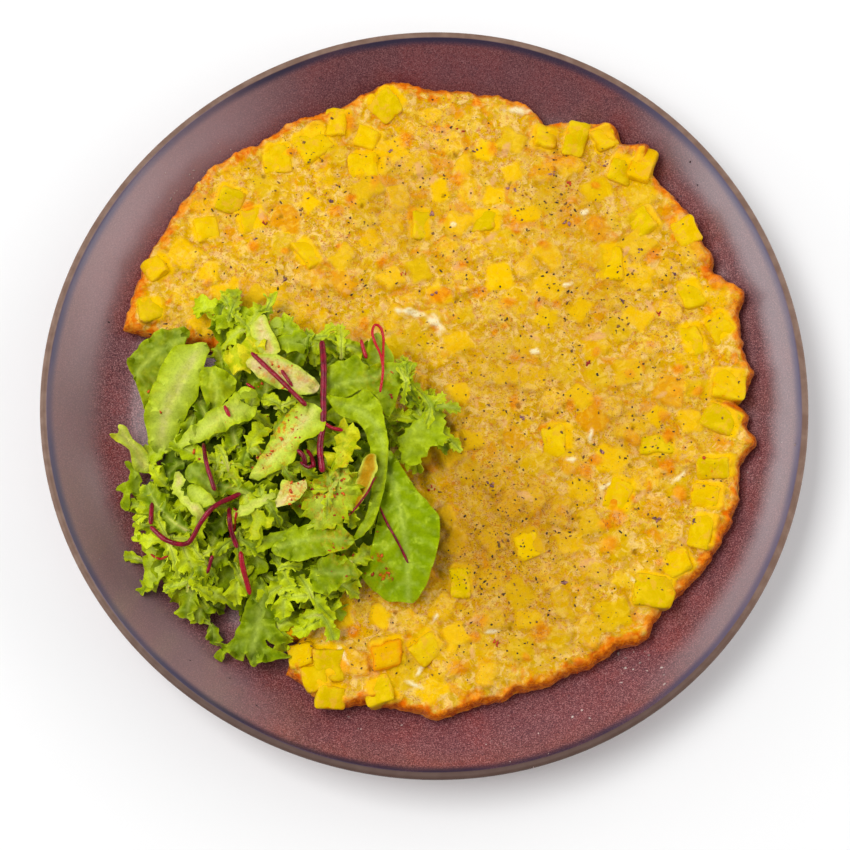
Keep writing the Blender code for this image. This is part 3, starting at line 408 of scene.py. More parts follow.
# Paprika on the salad: centre, spread, number
PAPRIKA_CLUSTERS = [
    (-50, -18, 5, 26), (-54, -28, 4, 14), (-36, -42, 5, 34), (-46, -42, 3, 12), (-53, 3, 4, 16),
    (-28, -58, 6, 18), (-30, -34, 4, 10), (-25, -74, 5, 6), (-14, -68, 1.6, 12), (-17, -62, 1.5, 6),
    (-45, -38, 2, 8), (-70, -20, 9, 10), (-62, -60, 10, 8), (-16, 2, 5, 5), (-100, 0, 6, 4),
    (-68, -36, 6, 10),
]

# Onion and chilli bits on the egg: x, y
ONION_BITS = [
    (63.7, -21), (2.5, 69.1), (3.5, 38.8), (-52.2, 44.2), (96.6, -47.3), (52.4, 65.8), (33, 79),
    (47.5, 85.6), (18.6, 94.4), (-13.5, 94.4), (79.9, 55), (72.3, 35.5), (36.2, -9), (23.9, -33.9),
    (49.5, -68.7), (83.7, -46.3), (68.2, 90), (92, 46.3), (-63.7, 59.3), (-35.1, 74.6),
]
CHILLI_BITS = [
    (54.4, -101.8), (2.4, -34.5), (53.6, 81.2), (13.4, 103.3), (60.7, 12.1), (86.5, 31.3), (-59.7, 65.8),
    (25.5, -90.9), (101.2, -23.6), (-8.2, 46.3),
]

# Crumbs on the plate: centre, spread, number
CRUMB_CLUSTERS = [
    (-87, 78, 9, 26), (-80, 92, 6, 8), (77, -100, 6, 12), (35, -122, 9, 12), (60, 104, 2, 3),
    (-98, -62, 8, 8), (-30, -122, 16, 10), (121, -30, 6, 6),
]

# Single crumbs on the plate and pits in its glaze: x, y, size
DROPS = [
    (65.2, -94.8, 1.2), (70.0, -93.7, 1.7), (72.2, -99.1, 1.3), (77.4, -97.3, 1.2), (84.8, -99.5, 1.4),
    (70.4, -104.5, 1.1), (85.0, -105.9, 1.2), (56.0, -114.5, 1.2), (52.7, -117.0, 1.3), (58.6, -117.7, 1.0),
]
GLAZE_PITS = [
    (70.4, 103.2, 1.2), (80.3, 99.6, 1.1), (99.5, 89.9, 0.9), (102.4, 81.7, 0.9), (-60, -113, 0.9),
    (-84, -97, 0.8), (-70, -103, 0.7), (20, -128, 0.8), (-118, 30, 0.8), (-121, -20, 0.7), (118, -52, 0.8),
    (-40, 124, 0.8),
]

# Camera, lights and floor: lengths in metres, the elevation in degrees
CAMERA_ELEVATION = 77.3
CAMERA_DISTANCE = 0.8
CAMERA_AIM = (0.0, -0.0101, 0.015)
HALF_VIEW = 0.15625
SKY_STRENGTH = 0.38
FLOOR_REACH = 3.0
FLOOR_LEVEL = -0.0002
FLOOR_WHITE = 0.9
FLOOR_ROUGHNESS = 0.8

# Lights: name, place, size, power
LIGHTS = [("key light", (-0.8, 0.15, 1.7), (1.2, 0.8), 22.0),
          ("low light", (-1.6, 0.1, 0.5), (2.2, 0.7), 11.0),
          ("side light", (0.95, 0.2, 0.42), (2.0, 0.6), 8.0)]


def colour(red, green, blue):
    """A linear colour from the 0 to 255 values seen on a screen."""
    channels = []
    for value in (red, green, blue):
        share = value / 255.0
        channels.append(share / 12.92 if share <= 0.04045 else ((share + 0.055) / 1.055) ** 2.4)
    return (*channels, 1.0)


def smooth(value):
    """Goes from 0 to 1 as value does, level at both ends; value may be an array."""
    value = np.clip(value, 0.0, 1.0)
    return value * value * (3.0 - 2.0 * value)


def zigzag(value):
    """Goes up and down in straight runs between 0 and 1, once for each whole step of value."""
    return 1.0 - abs(2.0 * (value % 1.0) - 1.0)


def wave(x, y, scale, seed):
    """Smooth noise from -1 to 1 with features about scale across."""
    return noise.noise(Vector((x / scale, y / scale, seed * 7.3)))


def waves(points, scale, seed):
    """The same noise for an array of points."""
    return np.array([noise.noise(Vector((p[0] / scale, p[1] / scale, seed * 7.3))) for p in points])


def around(centre, radius, angle):
    """The place at a distance and an angle in radians from a centre in plan."""
    return centre[0] + radius * math.cos(angle), centre[1] + radius * math.sin(angle)


def is_crowded(place, placed, spacing):
    """Whether a place is nearer than spacing to any that is placed already."""
    return any(math.dist(place, other) < spacing for other in placed)


def make_piece(name, points, faces, material, attributes=None, creases=True):
    """A mesh piece that rides on the one body, with values for its material at each point."""
    mesh = bpy.data.meshes.new(name)
    mesh.from_pydata(np.asarray(points, float) * MM, [], faces)
    for key, values in (attributes or {}).items():
        layer = mesh.attributes.new(key, "FLOAT", "POINT")
        layer.data.foreach_set("value", np.asarray(values, np.float32))
    mesh.materials.append(material)
    mesh.shade_smooth()
    if creases:
        mesh.set_sharp_from_angle(angle=math.radians(50))
    piece = bpy.data.objects.new(name, mesh)
    bpy.context.scene.collection.objects.link(piece)
    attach(piece, "root")
    return piece


def grid_faces(rows, row, start=0):
    """Faces over a grid of points, with row points in each of its rows."""
    places = [start + i * row + j for i in range(rows - 1) for j in range(row - 1)]
    return [(a, a + row, a + row + 1, a + 1) for a in places]


class Shapes:
    """Points, faces and point values gathered from many shapes that become one piece."""

    def __init__(self, *keys):
        self.points = []
        self.faces = []
        self.values = {key: [] for key in keys}

    def add(self, points, faces, **values):
        """Adds a shape, with one value for all its points or one for each."""
        start = len(self.points)
        self.points.extend(tuple(p) for p in points)
        self.faces.extend(tuple(start + i for i in face) for face in faces)
        for key, own in values.items():
            own = [own] * len(points) if np.isscalar(own) else list(own)
            self.values[key].extend(own)

    def piece(self, name, material, slot, creases=True):
        """The finished piece of all shapes."""
        return make_piece(name, self.points, self.faces, material, self.values, creases)


class Look:
    """A Principled material and the few kinds of node that its colour and relief come from."""

    def __init__(self, name, **sockets):
        self.material = bpy.data.materials.new(name)
        self.material.use_nodes = True
        self.tree = self.material.node_tree
        self.shader = self.tree.nodes["Principled BSDF"]
        for key, value in sockets.items():
            self.put(self.shader.inputs[key.replace("_", " ")], value)
        self.place = self.add("ShaderNodeTexCoord").outputs["Object"]

    def put(self, socket, value):
        """Links another socket to this one, or gives it a value of its own."""
        if isinstance(value, bpy.types.NodeSocket):
            self.tree.links.new(value, socket)
        else:
            socket.default_value = value

    def add(self, kind, **inputs):
        """A new node, with the inputs that are named."""
        made = self.tree.nodes.new(kind)
        for key, value in inputs.items():
            self.put(made.inputs[key], value)
        return made

    def noise(self, size, detail=2.0, roughness=0.5, distortion=0.0):
        """Noise with features about size across, in millimetres."""
        made = self.add("ShaderNodeTexNoise", Vector=self.place, Scale=1.0 / (size * MM),
                        Detail=detail, Roughness=roughness, Distortion=distortion)
        return made.outputs["Fac"]

    def cells(self, size):
        """Distance to the nearest of scattered points about size apart, from 0 to about 1."""
        made = self.add("ShaderNodeTexVoronoi", Vector=self.place, Scale=1.0 / (size * MM))
        return made.outputs["Distance"]

    def value(self, name):
        """A value stored at the mesh's points."""
        made = self.add("ShaderNodeAttribute")
        made.attribute_name = name
        return made.outputs["Fac"]

    def span(self, value, low, high, start=0.0, stop=1.0):
        """Value from low to high taken smoothly to start to stop."""
        made = self.tree.nodes.new("ShaderNodeMapRange")
        made.interpolation_type = "SMOOTHSTEP"
        for key, own in zip(("Value", "From Min", "From Max", "To Min", "To Max"),
                            (value, low, high, start, stop)):
            self.put(made.inputs[key], own)
        return made.outputs["Result"]

    def sum(self, kind, one, other=0.0):
        """The result of one kind of arithmetic on one or two numbers."""
        made = self.tree.nodes.new("ShaderNodeMath")
        made.operation = kind
        self.put(made.inputs[0], one)
        self.put(made.inputs[1], other)
        return made.outputs[0]

    def plus(self, one, other):
        """One number added to another."""
        return self.sum("ADD", one, other)

    def times(self, one, other):
        """One number times another."""
        return self.sum("MULTIPLY", one, other)

    def centred(self, value, reach):
        """A value around a half taken to reach times its distance from a half."""
        return self.times(self.sum("SUBTRACT", value, 0.5), reach)

    def mix(self, share, one, other):
        """Colour one where share is 0 and other where it is 1; either may be three screen values."""
        made = self.tree.nodes.new("ShaderNodeMix")
        made.data_type = "RGBA"
        self.put(made.inputs[0], share)
        for place, own in ((6, one), (7, other)):
            self.put(made.inputs[place], colour(*own) if isinstance(own, tuple) else own)
        return made.outputs[2]

    def over(self, one, other, value, low, high, most=1.0):
        """Colour one where value is at low, and other, up to the share most, where it is at high."""
        return self.mix(self.span(value, low, high, 0.0, most), one, other)

    def finish(self, tint, height, depth):
        """Sets the colour and the relief, of that depth in millimetres."""
        self.put(self.shader.inputs["Base Color"], tint)
        bump = self.add("ShaderNodeBump", Height=height, Strength=1.0, Distance=depth * MM)
        self.put(self.shader.inputs["Normal"], bump.outputs["Normal"])
        return self.material


# The plate

def rim_level(radius):
    """Height of the plate's upper face at a radius."""
    share = np.maximum(radius - WELL_RADIUS, 0.0) / (RIM_INNER_RADIUS - WELL_RADIUS)
    return WELL_LEVEL + (PLATE_HEIGHT - WELL_LEVEL) * share ** RIM_CURVE


def out_of_round(angle):
    """Share by which the plate is wider along an angle than a true circle."""
    return 1.0 + sum(a * np.cos(k * angle) + b * np.sin(k * angle) for k, a, b in ROUNDNESS) / PLATE_RADIUS


def plate_top(x, y):
    """Height of the plate's upper face at a place in plan."""
    return rim_level(np.hypot(x, y) / out_of_round(np.arctan2(y, x)))


def plate_profile():
    """The turned outline from the middle of the upper face round to the middle of the underside."""
    profile = [(r, WELL_LEVEL) for r in np.linspace(HUB_RADIUS, WELL_RADIUS - 3.0, 10)]
    profile += [(r, rim_level(r)) for r in np.linspace(WELL_RADIUS, RIM_INNER_RADIUS, 26)]
    lip_radius = (PLATE_RADIUS - RIM_INNER_RADIUS) / 2.0
    middle = (RIM_INNER_RADIUS + lip_radius, PLATE_HEIGHT - lip_radius)
    profile += [around(middle, lip_radius, angle) for angle in np.radians(np.linspace(*LIP_SWEEP, 11))]
    for radius in np.linspace(WALL_RADIUS, FOOT_OUTER_RADIUS + 4.0, 18):
        profile.append((radius, rim_level(radius + WALL_SHIFT) - PLATE_THICKNESS))
    profile += [(FOOT_OUTER_RADIUS + out, level) for out, level in FOOT_OUTER_CORNERS]
    profile += [(FOOT_INNER_RADIUS - out, level) for out, level in FOOT_INNER_CORNERS]
    return profile + [(HUB_RADIUS, BASE_LEVEL)]


def glaze_look():
    """Purple-brown reactive glaze with a dark blue line inside a brown lip.

    The rim is paler and greyer at the left and right, a painted reflection of the lamps, and darker at the
    far side, painted shade where no lamp is reflected.
    The places along x and y are in metres here, and the radius is in millimetres.
    """
    look = Look("glaze", Coat_Roughness=0.24)
    parts = look.add("ShaderNodeSeparateXYZ", Vector=look.place).outputs
    radius = look.plus(look.value("radius"), look.centred(look.noise(60.0), 1.0))
    fine = look.noise(0.7, 3.0, 0.7)
    grain = look.noise(0.46, 2.0, 0.75)
    tint = look.over((110, 50, 58), (136, 50, 52), look.noise(26.0, 4.0, 0.6, 0.6), 0.40, 0.66)
    tint = look.over(tint, (152, 102, 105), fine, 0.35, 0.75, 0.5)
    tint = look.over(tint, (188, 134, 134), grain, 0.5, 0.66, 0.85)
    tint = look.over(tint, (50, 18, 30), grain, 0.5, 0.34, 0.85)
    tint = look.over(tint, (72, 38, 54), look.noise(1.6, 2.0, 0.6), 0.56, 0.7, 0.4)
    # Painted shade: darker towards the far side, where the rim reflects no lamp
    tint = look.over(tint, (78, 26, 36), parts["Y"], 0.06, 0.125, 0.5)
    # Painted reflection: a paler, greyer band on the rim's left slope
    left = look.times(look.span(parts["X"], -0.035, -0.085, 0.0, 0.75), look.span(radius, 117.0, 126.0))
    tint = look.mix(left, tint, (148, 120, 124))
    # Painted reflection: a paler, greyer band on the rim's right slope, where the lamps at the left are
    # reflected
    right = look.times(look.span(parts["X"], 0.07, 0.11, 0.0, 0.7), look.span(radius, 125.0, 132.0))
    tint = look.mix(right, tint, (146, 134, 140))
    # The dark blue line is lighter and greyer towards the left and right, a painted reflection of the lamps
    blue = look.over((26, 20, 56), (84, 78, 108), look.sum("ABSOLUTE", parts["X"]), 0.05, 0.115)
    line = look.times(look.span(radius, 134.6, 136.8), look.span(look.noise(30.0, 2.0), 0.3, 0.6, 0.7, 0.95))
    tint = look.mix(line, tint, blue)
    brown = look.over((112, 82, 66), (130, 102, 86), look.noise(5.0, 3.0), 0.35, 0.7)
    # Painted shade: the lip is darker at the near side
    brown = look.over(brown, (66, 42, 36), parts["Y"], -0.05, -0.125, 0.75)
    tint = look.over(tint, brown, radius, 137.2, 137.8)
    look.put(look.shader.inputs["Coat Weight"], look.span(radius, 136.6, 137.4, 0.45, 0.0))
    look.put(look.shader.inputs["Roughness"], look.span(radius, 136.6, 137.4, 0.36, 0.6))
    height = look.plus(look.times(look.noise(9.0), 0.8), look.times(fine, 0.3))
    return look.finish(tint, height, 0.14)


def make_plate():
    """The turned plate, a little uneven as hand-finished stoneware is, and flat where it stands."""
    points = [(0.0, 0.0, WELL_LEVEL)]
    radii = [0.0]
    profile = plate_profile()
    for radius, level in profile:
        for side in range(PLATE_SIDES):
            angle = 2.0 * math.pi * side / PLATE_SIDES
            x, y = around((0.0, 0.0), radius * out_of_round(angle), angle)
            uneven = PLATE_WAVE[0] * wave(x, y, PLATE_WAVE[1], 41) if level > 1.0 else 0.0
            points.append((x, y, level + uneven))
            radii.append(radius)
    points.append((0.0, 0.0, BASE_LEVEL))
    radii.append(0.0)
    last = len(points) - 1
    rim = last - PLATE_SIDES
    faces = []
    for side in range(PLATE_SIDES):
        after = (side + 1) % PLATE_SIDES
        faces.append((0, 1 + side, 1 + after))
        for near in range(1, rim, PLATE_SIDES):
            far = near + PLATE_SIDES
            faces.append((near + side, far + side, far + after, near + after))
        faces.append((rim + side, last, rim + after))
    piece = make_piece("plate_glazed", points, faces, glaze_look(), {"radius": radii})
    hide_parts("plate")
    return piece


# The omelette

def bearing_gap(one, other):
    """The signed angle in degrees from one bearing to another."""
    return (one - other + 180.0) % 360.0 - 180.0


def edge_radius(bearing):
    """Distance of the omelette's edge from its middle along a bearing."""
    radius = OMELETTE_RADIUS
    radius += OMELETTE_LEAN * math.cos(math.radians(bearing - LEAN_BEARING))
    radius += EDGE_SHIFT * math.cos(math.radians(bearing - SHIFT_BEARING))
    for place, depth, half_width in EDGE_BUMPS:
        radius += depth * math.exp(-(bearing_gap(bearing, place) / half_width) ** 2)
    turn = math.radians(bearing)
    radius += EDGE_WAVE * wave(40.0 * math.cos(turn), 40.0 * math.sin(turn), 3.0, 1)
    return radius


def edge_point(bearing, crag=0.0):
    """A point of the omelette's round edge, with crags up to about crag deep on it."""
    turn = math.radians(bearing)
    radius = edge_radius(bearing)
    for length, share in CRAGS:
        radius += crag * share * wave(turn * OMELETTE_RADIUS, length, length, 6)
    return around(OMELETTE_CENTRE, radius, turn)


def place_on_egg(rng, inset):
    """A random place on the omelette's full round, evenly spread, at least inset from its edge."""
    angle, radius = rng.uniform(0.0, 2.0 * math.pi), (OMELETTE_RADIUS - inset) * math.sqrt(rng.random())
    return around(OMELETTE_CENTRE, radius, angle)


def cut_edge(start, end, step):
    """Points of one cut side of the open slice, between start and end."""
    run = math.dist(start, end)
    count = max(2, round(run / step))
    across = ((start[1] - end[1]) / run, (end[0] - start[0]) / run)
    points = []
    for i in range(1, count):
        share = i / count
        x = start[0] + (end[0] - start[0]) * share
        y = start[1] + (end[1] - start[1]) * share
        shift = CUT_WAVE * wave(x, y, CUT_WAVE_LENGTH, 2) * math.sin(math.pi * share)
        points.append((x + across[0] * shift, y + across[1] * shift))
    return points


def omelette_outline(step, crag=0.0):
    """The closed outline in plan, anticlockwise, with the slice left open and calm where it is cut."""
    first, last = SLICE_BEARINGS
    sweep = 360.0 - (last - first)
    count = round(math.radians(sweep) * OMELETTE_RADIUS / step)
    calm = [crag * float(smooth(min(i, count - i) * step / CALM_RUN)) for i in range(count + 1)]
    rim = [edge_point(last + sweep * i / count, calm[i]) for i in range(count + 1)]
    inward = cut_edge(rim[-1], SLICE_APEX, step)
    outward = cut_edge(SLICE_APEX, rim[0], step)
    return rim + inward + [SLICE_APEX] + outward


def edge_distance(points, outline):
    """Distance of each point in plan from the outline."""
    points = np.asarray(points, float)
    corners = np.asarray(outline, float)
    best = np.full(len(points), np.inf)
    for corner, run in zip(corners, np.roll(corners, -1, axis=0) - corners):
        from_corner = points - corner
        share = np.clip(from_corner @ run / (run @ run), 0.0, 1.0)
        best = np.minimum(best, np.hypot(*(from_corner - share[:, None] * run).T))
    return best


def are_inside(points, outline):
    """Which points lie within a closed outline."""
    points = np.asarray(points, float)
    inside = np.zeros(len(points), bool)
    for (x1, y1), (x2, y2) in zip(outline, outline[1:] + outline[:1]):
        if y1 == y2:
            continue
        spans = (y1 > points[:, 1]) != (y2 > points[:, 1])
        inside ^= spans & (points[:, 0] < x1 + (points[:, 1] - y1) * (x2 - x1) / (y2 - y1))
    return inside


def in_salad_shade(points):
    """1 under the heap of salad, where the egg stays plain, and 0 away from it."""
    points = np.asarray(points, float)
    across = (points[:, 0] - CORE_CENTRE[0]) / (CORE_RADII[0] + 10.0)
    along = (points[:, 1] - CORE_CENTRE[1]) / (CORE_RADII[1] + 10.0)
    return 1.0 - smooth((np.hypot(across, along) - 0.85) / 0.2)


def egg_levels(points, inset):
    """Height of the egg's upper face without its dice, at points that far in from the edge."""
    points = np.asarray(points, float)
    raised = plate_top(points[:, 0], points[:, 1]) - WELL_LEVEL
    thickness = EDGE_THICKNESS + (OMELETTE_THICKNESS - EDGE_THICKNESS) * smooth(inset / THICKEN_RUN)
    share = np.minimum(inset / EDGE_ROUND, 1.0)
    shoulder = SHOULDER_LEVEL + (thickness - SHOULDER_LEVEL) * np.sqrt(1.0 - (1.0 - share) ** 2)
    lumps = sum(height * waves(points, width, seed)
                for seed, (height, width) in enumerate((SMALL_LUMPS, BROAD_LUMPS), 3))
    lumps *= share * (1.0 - SHADE_PLAIN * in_salad_shade(points))
    return WELL_LEVEL + GAP + RIM_LIFT * raised + shoulder + lumps


def rule_dice(outline):
    """The other dice that show: a loose row along the edge, clear of the key dice."""
    rng = random.Random(DICE_SEED)
    placed = [die[:2] for die in KEY_DICE]
    dice = []
    bearing = SLICE_BEARINGS[1] + 3.0
    while bearing < SLICE_BEARINGS[0] + 358.0:
        share = 1.0 - rng.uniform(*RIM_DICE_INSET) / OMELETTE_RADIUS
        edge = edge_point(bearing)
        place = tuple(middle + (own - middle) * share for middle, own in zip(OMELETTE_CENTRE, edge))
        sides = rng.uniform(*DICE_SIDE), rng.uniform(*DICE_SIDE)
        turn_and_rise = rng.uniform(*DICE_TURN), rng.uniform(*DICE_RISE)
        crowded = is_crowded(place, placed, DICE_SPACING)
        hidden = in_salad_shade([place])[0] > 0.3
        cramped = edge_distance([place], outline)[0] < DICE_EDGE_GAP
        covered = any(abs(bearing_gap(bearing, middle)) < half for middle, half in COVERED_SECTORS)
        if not (crowded or hidden or cramped or covered):
            placed.append(place)
            dice.append((*place, *sides, *turn_and_rise))
        bearing += math.degrees(RIM_DICE_STEP / OMELETTE_RADIUS) * rng.uniform(0.5, 1.0)
    return dice


def sunk_dice(outline, shown):
    """Dice just under the skin, all over the egg but the salad's shade."""
    rng = random.Random(DICE_SEED + 1)
    placed = [die[:2] for die in shown]
    tries = [place_on_egg(rng, 0.0) for _ in range(SUNK_DICE_TRIES)]
    good = are_inside(tries, outline) & (edge_distance(tries, outline) > SUNK_EDGE_GAP)
    good &= in_salad_shade(tries) < 0.6
    dice = []
    for place, keep in zip(tries, good):
        if keep and not is_crowded(place, placed, SUNK_DICE_SPACING):
            placed.append(place)
            sides = rng.uniform(*SUNK_SIDE), rng.uniform(*SUNK_SIDE)
            dice.append((*place, *sides, rng.uniform(*DICE_TURN), rng.uniform(*SUNK_RISE)))
    return dice


def box_distance(points, die):
    """Signed distance of each point from a die's rounded outline in plan, below 0 inside."""
    x, y, side_x, side_y, turn, _ = die
    angle = math.radians(turn)
    dx, dy = points[:, 0] - x, points[:, 1] - y
    across = np.abs(dx * math.cos(angle) + dy * math.sin(angle)) - side_x / 2 + DICE_ROUND
    along = np.abs(dy * math.cos(angle) - dx * math.sin(angle)) - side_y / 2 + DICE_ROUND
    outside = np.hypot(np.maximum(across, 0.0), np.maximum(along, 0.0))
    return outside + np.minimum(np.maximum(across, along), 0.0) - DICE_ROUND


def plan_points(outline, step, seed, margin):
    """An uneven grid of triangles' corners inside a plan, at least margin from its edge."""
    rng = np.random.default_rng(seed)
    corners = np.asarray(outline)
    low, high = corners.min(axis=0), corners.max(axis=0)
    rise = step * 0.866
    columns, rows = np.meshgrid(np.arange(low[0], high[0], step), np.arange(low[1], high[1], rise))
    columns = columns + 0.5 * step * (np.arange(rows.shape[0]) % 2)[:, None]
    grid = np.stack((columns.ravel(), rows.ravel()), axis=1)
    grid += rng.uniform(-0.2, 0.2, grid.shape) * step
    grid = grid[are_inside(grid, outline)]
    return grid[edge_distance(grid, outline) > margin]


def fill_plan(outline, inner):
    """Triangles over a closed outline and the points inside it, which come after its corners."""
    corners = list(range(len(outline)))
    flat = [Vector((float(x), float(y))) for places in (outline, inner) for x, y in places]
    edges = [(i, (i + 1) % len(outline)) for i in corners]
    made = delaunay_2d_cdt(flat, edges, [corners], 1, 0.0001)
    return [tuple(face) for face in made[2]]


def egg_base(look, broad, patches, curds):
    """Golden to cream curds with orange blushes, and the potato and toasted spots that show through; lighter
    on raised curds and lumps and darker in their hollows, partly painted highlight and painted shade.
    """
    tint = look.over((222, 170, 0), (234, 190, 58), patches, 0.43, 0.58)
    tint = look.over(tint, (200, 154, 0), look.noise(5.0, 3.0, 0.6, 0.8), 0.5, 0.62, 0.8)
    # The raised curds go cream, partly their own colour and partly a painted highlight; their hollows go
    # darker, painted shade
    tint = look.over(tint, (246, 208, 124), curds, 0.5, 0.62, 0.85)
    tint = look.over(tint, (204, 142, 0), curds, 0.45, 0.34, 0.75)
    blush = look.times(look.span(look.noise(7.0, 4.0, 0.62, 0.7), 0.51, 0.63), look.span(broad, 0.38, 0.58))
    tint = look.mix(look.times(blush, 0.7), tint, (232, 138, 2))
    tone, relief = look.value("tone"), look.value("relief")
    yolk = look.over((218, 176, 0), (246, 194, 0), tone, 0.1, 0.5)
    yolk = look.over(yolk, (226, 146, 0), tone, 0.9, 0.94)
    # Painted highlight on the potato where the curds rise
    yolk = look.over(yolk, (252, 212, 30), curds, 0.48, 0.68, 0.45)
    tint = look.mix(look.value("die"), tint, yolk)
    toasted = look.over((228, 120, 2), (244, 156, 26), curds, 0.4, 0.6)
    tint = look.mix(look.times(look.value("toast"), 0.9), tint, toasted)
    # Painted shade where the relief is low; lighter yellow where it is high, partly the potato under thin egg
    # and partly a painted highlight
    tint = look.over(tint, (206, 150, 2), relief, 0.1, -0.7, 0.5)
    return look.over(tint, (246, 190, 40), relief, 0.9, 2.2, 0.35)


def egg_dust(look, tint, bare, broad, fine, grain):
    """Tan and brown dust of spice with fine specks and torn flakes, thicker round the pepper, where the egg
    is also broadly darker and browner.
    """
    dusty = look.sum("MAXIMUM", look.span(broad, 0.6, 0.42, 0.4, 1.0), look.value("dust"))
    dusty = look.times(dusty, bare)
    tan = look.times(look.span(look.noise(2.2, 4.0, 0.65, 0.5), 0.5, 0.62), dusty)
    tint = look.mix(look.times(tan, 0.75), tint, (226, 174, 112))
    brown = look.times(look.span(look.noise(1.7, 3.0, 0.7), 0.55, 0.66), dusty)
    tint = look.mix(look.times(brown, 0.75), tint, (202, 108, 42))
    # Broadly darker and browner round the pepper clusters
    tint = look.mix(look.times(look.value("dust"), 0.34), tint, (184, 130, 20))
    speck = look.times(look.span(grain, 0.55, 0.63), look.span(fine, 0.42, 0.58))
    tint = look.mix(look.times(look.times(speck, dusty), 0.8), tint, (150, 88, 30))
    torn = look.times(look.value("flake"), look.span(fine, 0.34, 0.5, 0.3, 0.85))
    return look.mix(torn, tint, look.mix(fine, (238, 190, 124), (220, 154, 92)))


def egg_rim(look, tint, bare, patches, curds, fine):
    """The browned rim with its baked crust and knobs, darkest down the side."""
    inset = look.value("inset")
    rim = look.span(look.plus(inset, look.centred(patches, 16.0)), 4.4, 0.8)
    browned = look.over((226, 106, 6), (242, 154, 38), curds, 0.4, 0.62)
    tint = look.mix(look.times(rim, bare), tint, browned)
    knob = look.times(look.span(look.value("relief"), 1.0, 2.2), look.span(inset, 8.0, 4.0, 0.0, 0.6))
    tint = look.mix(look.times(knob, bare), tint, (230, 106, 18))
    baked = look.over((178, 74, 4), (222, 122, 18), fine, 0.38, 0.62)
    tint = look.mix(look.times(look.value("crust"), 0.9), tint, baked)
    dark = look.span(look.plus(inset, look.centred(curds, 9.0)), 0.2, -1.0, 0.0, 0.85)
    return look.mix(dark, tint, look.over((142, 54, 6), (196, 90, 16), fine, 0.4, 0.62))


def egg_look():
    """Set egg over potato: golden, cream and tan, with orange blushes and a browned rim."""
    look = Look("egg", Roughness=0.34, Specular_IOR_Level=0.26, Specular_Tint=OILY_TINT,
                Subsurface_Weight=0.1, Subsurface_Scale=0.002, Subsurface_Radius=(1.0, 0.6, 0.2))
    broad = look.noise(18.0, 2.0, 0.5, 0.5)
    patches = look.noise(7.5, 3.0, 0.55, 0.8)
    curds = look.noise(3.0, 4.0, 0.6, 0.6)
    fine = look.noise(1.1, 3.0, 0.62)
    grain = look.noise(0.45, 2.0, 0.65)
    bare = look.sum("SUBTRACT", 1.0, look.times(look.value("die"), 0.92))
    tint = egg_base(look, broad, patches, curds)
    tint = egg_dust(look, tint, bare, broad, fine, grain)
    tint = egg_rim(look, tint, bare, patches, curds, fine)
    # Painted shade in the small pits
    tint = look.mix(look.times(look.value("pit"), 0.6), tint, (150, 106, 6))
    wisp = look.times(look.value("white"), look.span(fine, 0.32, 0.52, 0.4, 0.95))
    tint = look.mix(wisp, tint, (250, 236, 190))
    height = look.plus(look.times(fine, 0.5), look.times(grain, 0.2))
    return look.finish(tint, look.plus(height, curds), 0.55)


def potato_look():
    """Bright yellow cooked potato with toasted edges and a little egg left on it, darker down its sides as
    painted shade.
    """
    look = Look("potato", Roughness=0.4, Specular_IOR_Level=0.25, Specular_Tint=OILY_TINT,
                Subsurface_Weight=0.12, Subsurface_Scale=0.002, Subsurface_Radius=(1.0, 0.7, 0.2))
    tone, edge = look.value("tone"), look.value("edge")
    tint = look.over((216, 182, 0), (231, 186, 0), tone, 0.1, 0.6)
    tint = look.over(tint, (240, 202, 26), look.noise(5.0, 3.0, 0.6, 0.5), 0.44, 0.64, 0.6)
    tint = look.over(tint, (232, 176, 50), look.noise(3.6, 4.0, 0.62, 0.6), 0.53, 0.64, 0.7)
    # Painted shade down the lower sides of each die
    tint = look.mix(look.times(look.value("low"), 0.7), tint, (196, 138, 0))
    toasted = look.plus(look.span(look.noise(6.0, 3.0, 0.6), 0.58, 0.7, 0.0, 0.5),
                        look.span(tone, 0.93, 0.97, 0.0, 0.8))
    toasted = look.times(toasted, look.span(edge, 0.1, 0.9, 0.35, 1.0))
    tint = look.mix(toasted, tint, (236, 142, 4))
    burnt = look.times(look.span(look.noise(2.6, 3.0, 0.7), 0.58, 0.66), look.span(edge, 0.5, 1.0, 0.0, 0.7))
    tint = look.mix(burnt, tint, (214, 104, 4))
    height = look.plus(look.noise(2.2, 3.0, 0.6), look.times(look.noise(0.6, 3.0), 0.4))
    return look.finish(tint, height, 0.35)


def stretched_gap(plan, x, y, length, width, turn):
    """Distance of each point from a spot's middle, as a share of its half length and half width."""
    turn = math.radians(turn)
    along = (plan[:, 0] - x) * math.cos(turn) + (plan[:, 1] - y) * math.sin(turn)
    across = (plan[:, 1] - y) * math.cos(turn) - (plan[:, 0] - x) * math.sin(turn)
    return np.hypot(along / length, across / width)


def spots_on(plan, spots, ragged, seed, fade):
    """How far each point lies within any of the ragged spots, from 0 to 1 over the share fade."""
    share = np.zeros(len(plan))
    for x, y, length, width, turn in spots:
        near = np.hypot(plan[:, 0] - x, plan[:, 1] - y) < 2.2 * max(length, width)
        gap = stretched_gap(plan[near], x, y, length, width, turn) + ragged * waves(plan[near], 2.2, seed)
        share[near] = np.maximum(share[near], smooth((1.15 - gap) / fade))
    return share


def loose_spots(rng, count, lengths, stretch):
    """Small spots anywhere on the egg: x, y, half length, half width, turn in degrees."""
    spots = []
    for _ in range(count):
        place = place_on_egg(rng, MARK_INSET)
        length = rng.uniform(*lengths)
        spots.append((*place, length, stretch * length * rng.uniform(0.7, 1.3), rng.uniform(0.0, 180.0)))
    return spots


